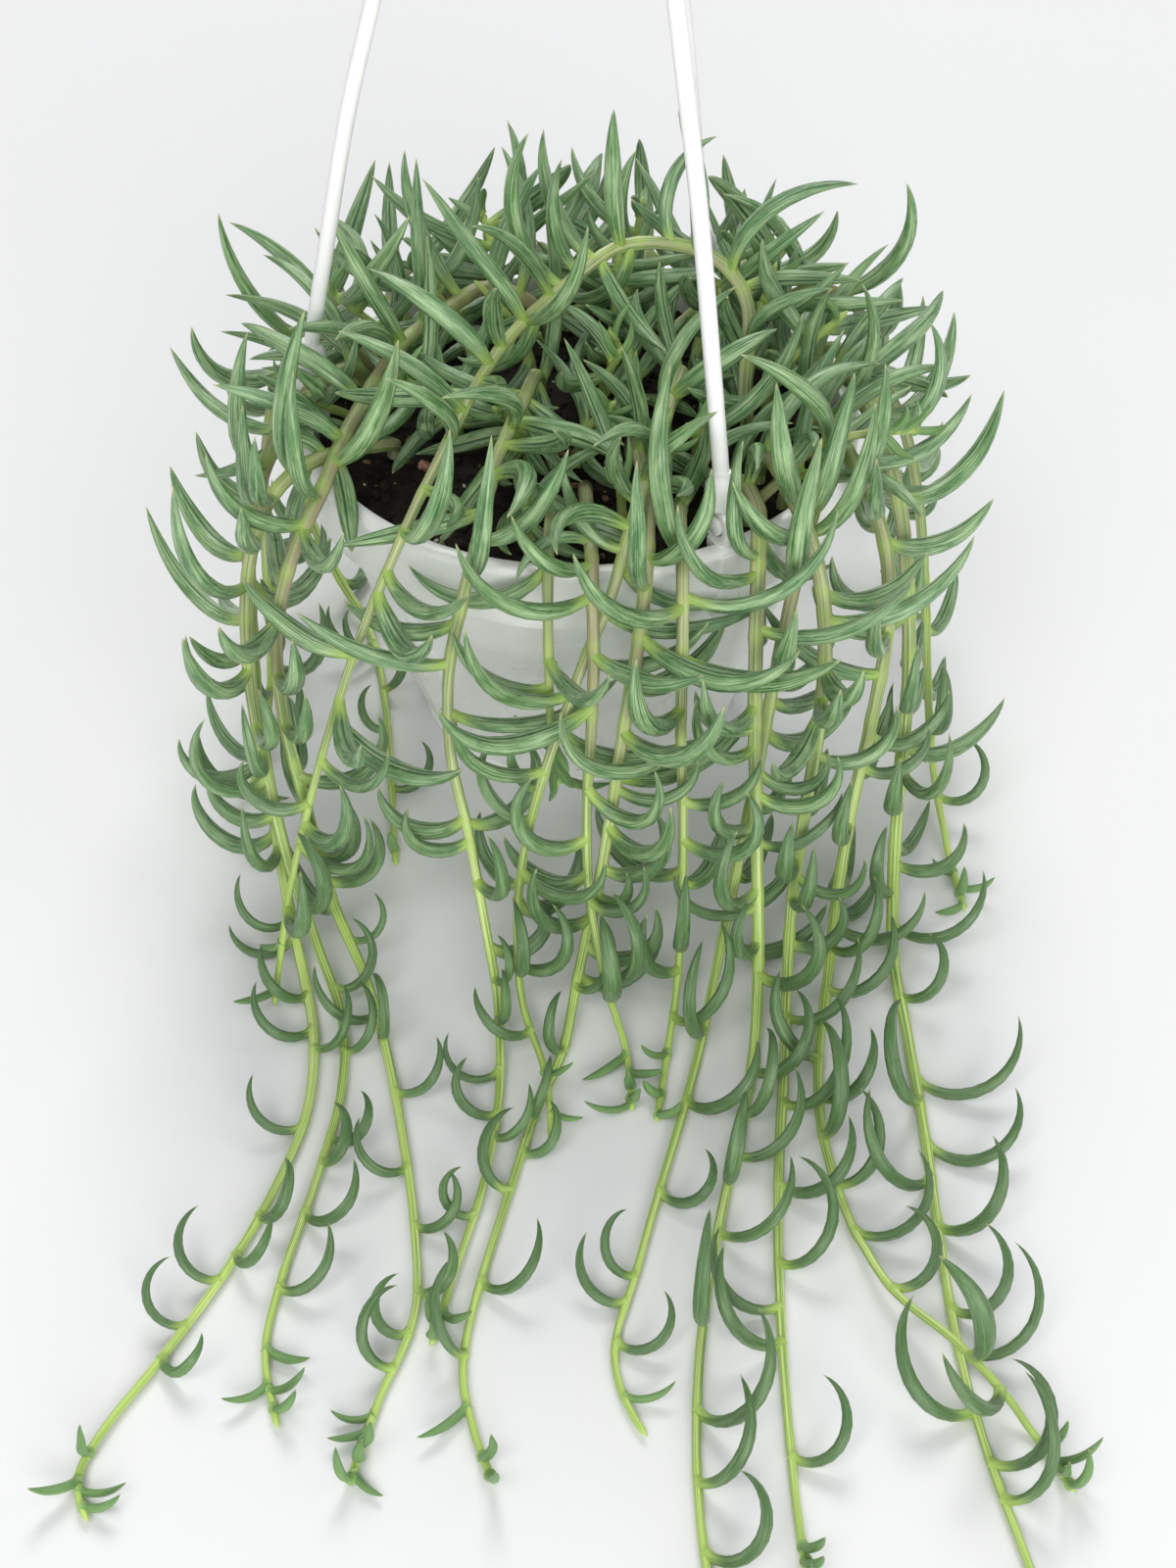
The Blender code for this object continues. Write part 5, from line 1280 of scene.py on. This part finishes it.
def crumb(rng, size, flatness):
    """The twelve corners of a small lump with uneven sides round the origin."""
    golden = (1 + 5 ** 0.5) / 2
    flat = [(a, b, 0.0) for a in (-1, 1) for b in (-golden, golden)]
    corners = [np.roll(corner, shift) for shift in range(3) for corner in flat]
    points = np.array(corners) / math.hypot(1.0, golden)
    stretch = np.array([rng.uniform(0.65, 1.25), rng.uniform(0.65, 1.25), rng.uniform(0.5, 0.9) * flatness])
    bumps = np.array([rng.uniform(0.7, 1.2) for _ in corners])
    turn = rng.uniform(0.0, math.pi)
    points = points * bumps[:, None] * stretch * size
    c, s = math.cos(turn), math.sin(turn)
    return points @ np.array(((c, s, 0.0), (-s, c, 0.0), (0.0, 0.0, 1.0)))


def hull_faces(points):
    """The triangles of the lump that its twelve corners span."""
    shell = bmesh.new()
    for point in points:
        shell.verts.new(point)
    shell.verts.ensure_lookup_table()
    shell.verts.index_update()
    bmesh.ops.convex_hull(shell, input=shell.verts)
    faces = [tuple(v.index for v in face.verts) for face in shell.faces]
    shell.free()
    return faces


def scatter(name, count, sizes, finish, seed, settings, sink=0.35, flatness=1.0):
    """Lumps strewn over the soil as one piece."""
    rng = random.Random(seed)
    pattern = crumb(random.Random(1), 1.0, 1.0)
    faces = hull_faces(pattern)
    points = []
    all_faces = []
    feet = [(route[0][0], route[0][1]) for _, route, _ in grown_plant()[0]]
    while len(points) < count * len(pattern):
        radius = (MOUTH_RADIUS - 3.0) * math.sqrt(rng.random())
        angle = rng.uniform(0.0, 2 * math.pi)
        x, y = radius * math.cos(angle), radius * math.sin(angle)
        size = sizes[0] + (sizes[1] - sizes[0]) * rng.random() ** 2.5
        lump = crumb(rng, size, flatness)
        if min(math.hypot(x - a, y - b) for a, b in feet) < size + CRUMB_CLEARANCE:
            continue
        lump = lump + np.array((x, y, soil_relief(x, y) + size * (0.5 - sink)))
        all_faces += [tuple(len(points) + c for c in face) for face in faces]
        points += lump.tolist()
    lumps = new_object(name, points, all_faces, [finish])
    if settings.round_crumbs:
        modifier = lumps.modifiers.new("Round", "SUBSURF")
        modifier.levels = modifier.render_levels = 1
    lumps.data.shade_smooth()
    place(lumps, "soil")


def soil_relief(x, y):
    """Height of the uneven soil at a place."""
    waves = (0.55 * math.sin(0.21 * x + 1.3) * math.cos(0.19 * y + 0.4) + 0.3 * math.sin(0.53 * x - 0.37 * y)
             + 0.18 * math.sin(1.1 * x + 0.7 * y + 2.0) * math.cos(0.9 * y - 0.6 * x))
    edge = min(1.0, max(0.0, (MOUTH_RADIUS - 1.0 - math.hypot(x, y)) / 6.0))
    return soil_height(x, y) - 0.6 + waves * edge * 0.8


def build_soil(settings):
    dark = soil_finish("soil_dark", settings.soil_colour, settings.soil_light, 0.5)
    tan = soil_finish("bark_bits", (0.2, 0.12, 0.06), (0.36, 0.25, 0.13), 0.8)
    pale = soil_finish("perlite", (0.62, 0.58, 0.5), (0.8, 0.78, 0.72), 0.8)
    edge = MOUTH_RADIUS - MOUTH_TAPER - GAP
    profile = [(0.0, WALL + GAP), *inner_profile(GAP), (edge - 0.3, POT_HEIGHT - COLLAR_HEIGHT + 1.6)]
    profile += [(edge * (1 - k / SOIL_RINGS), None) for k in range(SOIL_RINGS)]
    profile.append((0.0, None))
    bed = new_object("soil_bed", *lathed(profile, SOIL_SIDES, lift=soil_relief), [dark])
    smooth(bed, 60.0)
    place(bed, "soil", "soil")
    scatter("soil_crumbs", settings.crumbs, (0.5, 2.4), dark, 311, settings)
    scatter("soil_bark_bits", settings.bark_bits, (0.5, 1.7), tan, 312, settings, 0.2, 0.7)
    scatter("soil_perlite", settings.perlite, (0.5, 1.3), pale, 313, settings, 0.1)


def build_stub(settings):
    """The dry stem's stub, rough along its length and broken off uneven."""
    bark = bark_finish(settings)
    path = smooth_route(stub_path(), 0.8)
    rng = random.Random(77)
    sides = 16
    points, faces = lofted(path, [STUB_RADIUS] * len(path), sides)
    run = np.linspace(0.0, 1.0, len(path))
    for k in range(len(path)):
        for i in range(sides):
            row = k * sides + i
            ridge = 0.9 + 0.08 * math.sin(3 * i * 2 * math.pi / sides + 4 * run[k]) + rng.uniform(-0.04, 0.04)
            end = 0.82 if k == len(path) - 1 else 1.0
            points[row] = path[k] + (points[row] - path[k]) * ridge * end
            if k == len(path) - 1:
                points[row][2] += rng.uniform(-0.5, 0.3)
    stub = new_object("dry_stub_bark", points, faces, [bark])
    smooth(stub, 50.0)
    place(stub, "dry_stub", "dry_stub")


# Plant

@functools.lru_cache(maxsize=1)
def grown_plant():
    """The plan of the stems, the model's own leaves, and the leaves that stand between them."""
    plan, thicket = settled_plant()
    leaves = grow_leaves(plan, thicket, 0.0, LEAF_SEED)
    for name, route, _ in plan:
        for start, end in zip(route, route[1:]):
            if name in FRONT_STEMS and start[2] > POT_HEIGHT:
                for space in FRONT_SPACES:
                    thicket.add(start + space, end + space, FRONT_RADIUS, -1, 0.0)
    thicket.clearance = EXTRA_CLEARANCE
    extra = []
    for shift, seed, shares in EXTRA_SETS:
        for leaf in grow_leaves(plan, thicket, shift, seed, dict(zip(LEAF_KINDS, shares))):
            path = np.array([leaf_axis(*leaf[1:], k / LEAF_CAPSULES) for k in range(LEAF_CAPSULES + 1)])
            if (path > BOX_LOW + BOX_MARGIN).all() and (path < BOX_HIGH - BOX_MARGIN).all():
                extra.append(leaf)
    return plan, leaves, extra


def fine_leaf(leaf, number, sides):
    """One leaf's points, faces and the values that its skin reads."""
    _, base, heading, hook, (length, half_width, start, end, bend) = leaf
    rng = random.Random(number * 31 + 5)
    middles = (np.arange(LEAF_STRIDES) + 0.5) / LEAF_STRIDES
    turns = start + (end - start) * middles ** bend
    strides = (np.outer(np.cos(turns), heading) + np.outer(np.sin(turns), hook)) * (length / LEAF_STRIDES)
    line = np.concatenate(([base], base + np.cumsum(strides, axis=0)))
    marks = np.linspace(0.0, 1.0, LEAF_STRIDES + 1)
    across = np.cross(heading, hook)
    angles = 2 * math.pi * (np.arange(sides) / sides) + math.pi / 2 * 3
    cosines, sines = np.cos(angles), np.sin(angles)
    groove = 1.0 - LEAF_GROOVE * np.exp(-((np.arctan2(cosines, -sines) / GROOVE_WIDTH) ** 2))
    points = []
    grain = []
    tone = []
    lean = rng.uniform(-LEAF_SWAY, LEAF_SWAY)
    chance = rng.random()
    young = max(0.0, min(1.0, (YOUNG_FROM - length) / YOUNG_SPAN))
    # bloom also lifts the leaf out of the darker low green, which is partly painted shade
    bloom = max(0.0, min(1.0, (base[2] - BLOOM_FROM) / BLOOM_SPAN))
    for s in LEAF_SECTIONS:
        centre = at_mark(s, marks, line)
        turn = start + (end - start) * s ** bend
        along = heading * math.cos(turn) + hook * math.sin(turn)
        outer = np.cross(along, across)
        width = leaf_width(s, half_width) + LEAF_FLARE * math.exp(-((s / FLARE_REACH) ** 2))
        sway = across * (lean * math.sin(math.pi * s) * math.sin(2.2 * math.pi * s))
        flat = 1.0 + (LEAF_FLATNESS - 1.0) * min(1.0, s / 0.12)
        shape = 1.0 + (groove - 1.0) * min(1.0, s / 0.1)
        rows = centre + sway + np.outer(cosines * width * shape, across)
        points.append(rows + np.outer(sines * width * flat * shape, outer))
        depth = np.full(sides, s * length * MM + number * LEAF_GRAIN)
        grain.append(np.stack((cosines, sines, depth), axis=-1))
        tone.append(np.tile((s, chance, young, bloom), (sides, 1)))
    points.append(line[-1:])
    grain.append(np.array([[0.0, 0.0, length * MM + number * LEAF_GRAIN]]))
    tone.append(np.array([[1.0, chance, young, bloom]]))
    rings = len(LEAF_SECTIONS)
    faces = ring_faces(rings, sides)
    last = (rings - 1) * sides
    for i in range(sides):
        faces.append((last + i, last + (i + 1) % sides, rings * sides))
    faces.append(tuple(reversed(range(sides))))
    return np.concatenate(points), faces, np.concatenate(grain), np.concatenate(tone)


def fine_stem(route, radius, marks, number, sides):
    """A stem's points, faces and skin values: ridged, swollen at its joints, round at its end."""
    path = smooth_route(route, FINE_STEP)
    run = distances_along(path)
    left = run[-1] - run
    radii = stem_radii(path, radius)
    joint = np.zeros(len(path))
    for mark in marks:
        joint = np.maximum(joint, np.exp(-(((run - mark) / JOINT_REACH) ** 2)))
    radii = radii * (1.0 + JOINT_SWELL * joint)
    radii = radii * rounded_end(left, JOINT_REACH, 0.02)
    angles = 2 * math.pi * np.arange(sides) / sides
    cosines, sines = np.cos(angles), np.sin(angles)
    age = random.Random(number).uniform(*STEM_AGES)
    points = []
    grain = []
    tone = []
    for k, (centre, r, (_, side, up)) in enumerate(zip(path, radii, ring_frames(path))):
        ridge = 1.0 - RIDGE_DEPTH * (1.0 - np.cos(STEM_RIDGES * angles + RIDGE_TWIST * run[k] + number))
        points.append(centre + np.outer(cosines * r * ridge, side) + np.outer(sines * r * ridge, up))
        depth = np.full(sides, run[k] * MM + number * STEM_GRAIN)
        grain.append(np.stack((cosines, sines, depth), axis=-1))
        young = float(np.clip(1.0 - left[k] / YOUNG_END, 0.0, 1.0))
        older = age * float(np.clip((centre[2] - AGED_FROM) / BLOOM_SPAN, 0.0, 1.0))
        height = float(np.clip((centre[2] - BLOOM_FROM) / BLOOM_SPAN, 0.0, 1.0))
        tone.append(np.tile((joint[k], older, young, height), (sides, 1)))
    faces = ring_faces(len(path), sides) + end_faces(len(path), sides)
    return np.concatenate(points), faces, np.concatenate(grain), np.concatenate(tone)


def build_stems(settings, wanted):
    """Makes every wanted stem with its leaves as one piece that stands for its node."""
    plan, leaves, extra = grown_plant()
    skins = [stem_finish(settings), leaf_finish(settings)]
    for owner, (name, route, radius) in enumerate(plan):
        if not wanted(name):
            continue
        own = [(n, leaf) for n, leaf in enumerate(leaves + extra) if leaf[0] == owner]
        run = distances_along(route)
        marks = [run[np.linalg.norm(route - leaf[1], axis=1).argmin()] for _, leaf in own]
        shells = [fine_stem(route, radius, marks, owner, settings.stem_sides)]
        shells += [fine_leaf(leaf, n, settings.leaf_sides) for n, leaf in own]
        faces = []
        slots = []
        count = 0
        for points, shell_faces, _, _ in shells:
            slots += [1 if faces else 0] * len(shell_faces)
            faces += [tuple(count + c for c in face) for face in shell_faces]
            count += len(points)
        points = np.clip(np.concatenate([s[0] for s in shells]), BOX_LOW, BOX_HIGH)
        piece = new_object(name + "_grown", points, faces, skins, slots)
        keep_on_points(piece, "grain", np.concatenate([s[2] for s in shells]))
        keep_on_points(piece, "tone", np.concatenate([s[3] for s in shells]))
        smooth(piece, 75.0)
        place(piece, "plant", name)


# Stage

LIGHT_AIM = (0.0, -0.05, 0.06)  # where every light points, in metres


def build_stage(settings):
    """A plain pale floor, soft light all round and the camera."""
    scene = bpy.context.scene
    f = Finish("floor_paper")
    place_on = f.node("ShaderNodeTexCoord").outputs["Object"]
    cloud = f.noise(place_on, 3.0, 2.0)
    base = f.mix(cloud, settings.floor_colour, [c * 0.97 for c in settings.floor_colour])
    f.skin(Base_Color=base, Roughness=0.95, Specular_IOR_Level=0.1)
    half = settings.floor_size / 2
    corners = [(-half, -half, 0.0), (half, -half, 0.0), (half, half, 0.0), (-half, half, 0.0)]
    floor = new_object("floor", corners, [(0, 1, 2, 3)], [f.material], millimetres=False)
    world = bpy.data.worlds.new("soft_light")
    world.use_nodes = True
    background = world.node_tree.nodes["Background"]
    background.inputs["Color"].default_value = (*settings.sky_colour, 1.0)
    background.inputs["Strength"].default_value = settings.sky_strength
    scene.world = world
    for name, spot, size, power in (("window_front", (-0.8, -1.6, 2.2), 1.4, settings.key_power),
                                    ("window_low", (0.4, -1.9, 0.7), 1.2, settings.low_power),
                                    ("window_right", (1.5, -0.2, 1.3), 1.0, settings.fill_power),
                                    ("window_back", (0.0, 2.4, 2.4), 1.4, settings.back_power)):
        data = bpy.data.lights.new(name, "AREA")
        data.size = size
        data.energy = power
        lamp = bpy.data.objects.new(name, data)
        scene.collection.objects.link(lamp)
        lamp.location = spot
        aim = Vector(LIGHT_AIM) - Vector(spot)
        lamp.rotation_euler = aim.to_track_quat("-Z", "Y").to_euler()
    data = bpy.data.cameras.new("camera")
    data.lens = settings.lens
    data.sensor_width = 36.0
    data.clip_start, data.clip_end = 0.01, 20.0
    camera = bpy.data.objects.new("camera", data)
    scene.collection.objects.link(camera)
    camera.location = settings.camera_place
    camera.rotation_euler = (math.pi / 2 - settings.camera_pitch, 0.0, 0.0)
    scene.camera = camera
    scene.view_settings.view_transform = "Standard"


# Settings

def shade(name, description, default):
    return FloatVectorProperty(name=name, description=description, default=default, size=3,
                               subtype="COLOR", min=0.0, max=1.0)


class FishhooksPotSettings(bpy.types.PropertyGroup):
    sides: IntProperty(name="Sides", description="Points round the pot", default=240, min=80, max=360)
    plastic: shade("Plastic", "Colour of the pot's plastic", (0.96, 0.96, 0.945))
    plastic_shade: shade("Plastic shade", "Colour of its faint clouds", (0.9, 0.9, 0.89))


class FishhooksHangerSettings(bpy.types.PropertyGroup):
    sides: IntProperty(name="Sides", description="Points round an arm", default=24, min=8, max=64)
    plastic: shade("Plastic", "Colour of the hanger's plastic", (0.88, 0.88, 0.87))
    plastic_shade: shade("Plastic shade", "Colour of its faint clouds", (0.82, 0.82, 0.81))


class FishhooksSoilSettings(bpy.types.PropertyGroup):
    crumbs: IntProperty(name="Crumbs", description="Lumps of soil", default=1500, min=0, max=4000)
    bark_bits: IntProperty(name="Bark bits", description="Tan bits", default=170, min=0, max=1000)
    perlite: IntProperty(name="Perlite", description="Pale grains", default=60, min=0, max=500)
    round_crumbs: IntProperty(name="Round crumbs", description="1 rounds the lumps", default=0, min=0, max=1)
    soil_colour: shade("Soil", "Colour of the soil", (0.013, 0.01, 0.008))
    soil_light: shade("Soil light", "Colour of its drier places", (0.05, 0.036, 0.025))
    stub_colour: shade("Stub", "Colour of the dry stub", (0.36, 0.17, 0.12))
    stub_light: shade("Stub light", "Colour of its worn places", (0.5, 0.3, 0.22))


class FishhooksPlantSettings(bpy.types.PropertyGroup):
    leaf_sides: IntProperty(name="Leaf sides", description="Points round a leaf", default=14, min=8, max=24)
    stem_sides: IntProperty(name="Stem sides", description="Points round a stem", default=15, min=8, max=24)
    leaf_colour: shade("Leaf", "Green of a leaf", (0.135, 0.295, 0.088))
    leaf_blue: shade("Leaf blue", "Blue-green of a leaf with bloom", (0.15, 0.315, 0.145))
    # Painted highlight colour: lit patches, the ridges between the dark lines and the bands beside the clear
    # line
    leaf_highlight: shade("Leaf light", "Lit patches", (0.54, 0.73, 0.4))
    leaf_dark: shade("Leaf dark", "Fine lengthwise lines", (0.028, 0.088, 0.026))
    leaf_window: shade("Leaf window", "Clear line inside the bend", (0.04, 0.11, 0.045))
    # Darker green of the leaves near the floor, partly painted shade; also a random darker tone for some
    # leaves
    low_leaf_green_and_shade: shade("Low leaf", "Smooth green of the leaves that lie low", (0.085, 0.175, 0.055))
    leaf_tip: shade("Leaf tip", "Dry point of a leaf", (0.6, 0.62, 0.3))
    lime: shade("Lime", "Fresh green at leaf feet and joints", (0.42, 0.6, 0.13))
    young_leaf: shade("Young leaf", "Green of the smallest leaves", (0.2, 0.38, 0.12))
    stem_colour: shade("Stem", "Pale colour of the stems", (0.58, 0.62, 0.33))
    stem_pale: shade("Stem pale", "Raised lines of the stems", (0.8, 0.82, 0.54))
    low_stem: shade("Low stem", "Yellow-green of the stems that lie low", (0.53, 0.71, 0.17))
    stem_green: shade("Stem green", "Green of the furrows", (0.2, 0.32, 0.09))
    stem_purple: shade("Stem purple", "Purple-brown streaks of old stems", (0.3, 0.19, 0.15))
    young_stem: shade("Young stem", "Colour of a growing end", (0.45, 0.62, 0.14))


class FishhooksStageSettings(bpy.types.PropertyGroup):
    floor_size: FloatProperty(name="Floor", description="Side of the floor", default=8.0, unit="LENGTH")
    floor_colour: shade("Floor", "Colour of the floor", (0.8, 0.8, 0.8))
    sky_colour: shade("Sky", "Colour of the light all round", (0.95, 0.97, 1.0))
    sky_strength: FloatProperty(name="Sky strength", description="Light from all round", default=0.31)
    key_power: FloatProperty(name="Key light", description="Power of the front window",
                             default=25.0, unit="POWER")
    low_power: FloatProperty(name="Low light", description="Power of the low front window",
                             default=28.0, unit="POWER")
    fill_power: FloatProperty(name="Fill light", description="Power of the right window",
                              default=3.0, unit="POWER")
    back_power: FloatProperty(name="Back light", description="Power of the window behind",
                              default=66.0, unit="POWER")
    lens: FloatProperty(name="Lens", description="Focal length in millimetres", default=51.75)
    camera_place: FloatVectorProperty(name="Camera", description="Where the camera stands", size=3,
                                      default=(0.0028, -0.548, 0.449), subtype="XYZ", unit="LENGTH")
    camera_pitch: FloatProperty(name="Pitch", description="How far the camera looks down",
                                default=math.radians(42.0), subtype="ANGLE")


# Operators

class FISHHOOKS_OT_pot(bpy.types.Operator):
    """Adds the white pot with its panels, ears, ribs and drain holes"""

    bl_idname = "fishhooks.pot"
    bl_label = "Hanging Pot"

    def execute(self, context):
        build_pot(context.scene.fishhooks_pot)
        return {"FINISHED"}


class FISHHOOKS_OT_hanger(bpy.types.Operator):
    """Adds the three arms with their clips, and the boss with its open hook"""

    bl_idname = "fishhooks.hanger"
    bl_label = "Hanger"

    def execute(self, context):
        build_hanger(context.scene.fishhooks_hanger)
        return {"FINISHED"}


class FISHHOOKS_OT_soil(bpy.types.Operator):
    """Adds the soil with its crumbs, bark bits and perlite"""

    bl_idname = "fishhooks.soil"
    bl_label = "Potting Soil"

    def execute(self, context):
        build_soil(context.scene.fishhooks_soil)
        return {"FINISHED"}


class FISHHOOKS_OT_dry_stub(bpy.types.Operator):
    """Adds the dry stub of an old stem"""

    bl_idname = "fishhooks.dry_stub"
    bl_label = "Dry Stub"

    def execute(self, context):
        build_stub(context.scene.fishhooks_soil)
        return {"FINISHED"}


class FISHHOOKS_OT_long_stems(bpy.types.Operator):
    """Adds the long trailing stems with their hooked leaves"""

    bl_idname = "fishhooks.long_stems"
    bl_label = "Trailing Stems"

    def execute(self, context):
        build_stems(context.scene.fishhooks_plant, lambda name: name.startswith("stem_"))
        return {"FINISHED"}


class FISHHOOKS_OT_crown_shoots(bpy.types.Operator):
    """Adds the short upright shoots of the crown"""

    bl_idname = "fishhooks.crown_shoots"
    bl_label = "Crown Shoots"

    def execute(self, context):
        build_stems(context.scene.fishhooks_plant, lambda name: name.startswith("shoot_"))
        return {"FINISHED"}


class FISHHOOKS_OT_stage(bpy.types.Operator):
    """Adds the floor, the lights and the camera"""

    bl_idname = "fishhooks.stage"
    bl_label = "Stage"

    def execute(self, context):
        build_stage(context.scene.fishhooks_stage)
        return {"FINISHED"}


GROUPS = {"fishhooks_pot": FishhooksPotSettings, "fishhooks_hanger": FishhooksHangerSettings,
          "fishhooks_soil": FishhooksSoilSettings, "fishhooks_plant": FishhooksPlantSettings,
          "fishhooks_stage": FishhooksStageSettings}
OPERATORS = (FISHHOOKS_OT_pot, FISHHOOKS_OT_hanger, FISHHOOKS_OT_soil, FISHHOOKS_OT_dry_stub,
             FISHHOOKS_OT_long_stems, FISHHOOKS_OT_crown_shoots, FISHHOOKS_OT_stage)


class FISHHOOKS_PT_panel(bpy.types.Panel):
    """Lists the pieces and their settings"""

    bl_idname = "FISHHOOKS_PT_panel"
    bl_label = "String of Fishhooks"
    bl_space_type = "VIEW_3D"
    bl_region_type = "UI"
    bl_category = "Fishhooks"

    def draw(self, context):
        layout = self.layout
        for operator in OPERATORS:
            layout.operator(operator.bl_idname)
        for key, group in GROUPS.items():
            box = layout.box()
            for name in group.__annotations__:
                box.prop(getattr(context.scene, key), name)


def register():
    for key, group in GROUPS.items():
        bpy.utils.register_class(group)
        setattr(bpy.types.Scene, key, PointerProperty(type=group))
    for operator in OPERATORS:
        bpy.utils.register_class(operator)
    bpy.utils.register_class(FISHHOOKS_PT_panel)


def unregister():
    bpy.utils.unregister_class(FISHHOOKS_PT_panel)
    for operator in reversed(OPERATORS):
        bpy.utils.unregister_class(operator)
    for key, group in reversed(GROUPS.items()):
        delattr(bpy.types.Scene, key)
        bpy.utils.unregister_class(group)


def main():
    register()
    bpy.ops.fishhooks.stage()
    bpy.ops.fishhooks.pot()
    bpy.ops.fishhooks.hanger()
    bpy.ops.fishhooks.soil()
    bpy.ops.fishhooks.dry_stub()
    bpy.ops.fishhooks.long_stems()
    bpy.ops.fishhooks.crown_shoots()


if __name__ == "__main__":
    main()
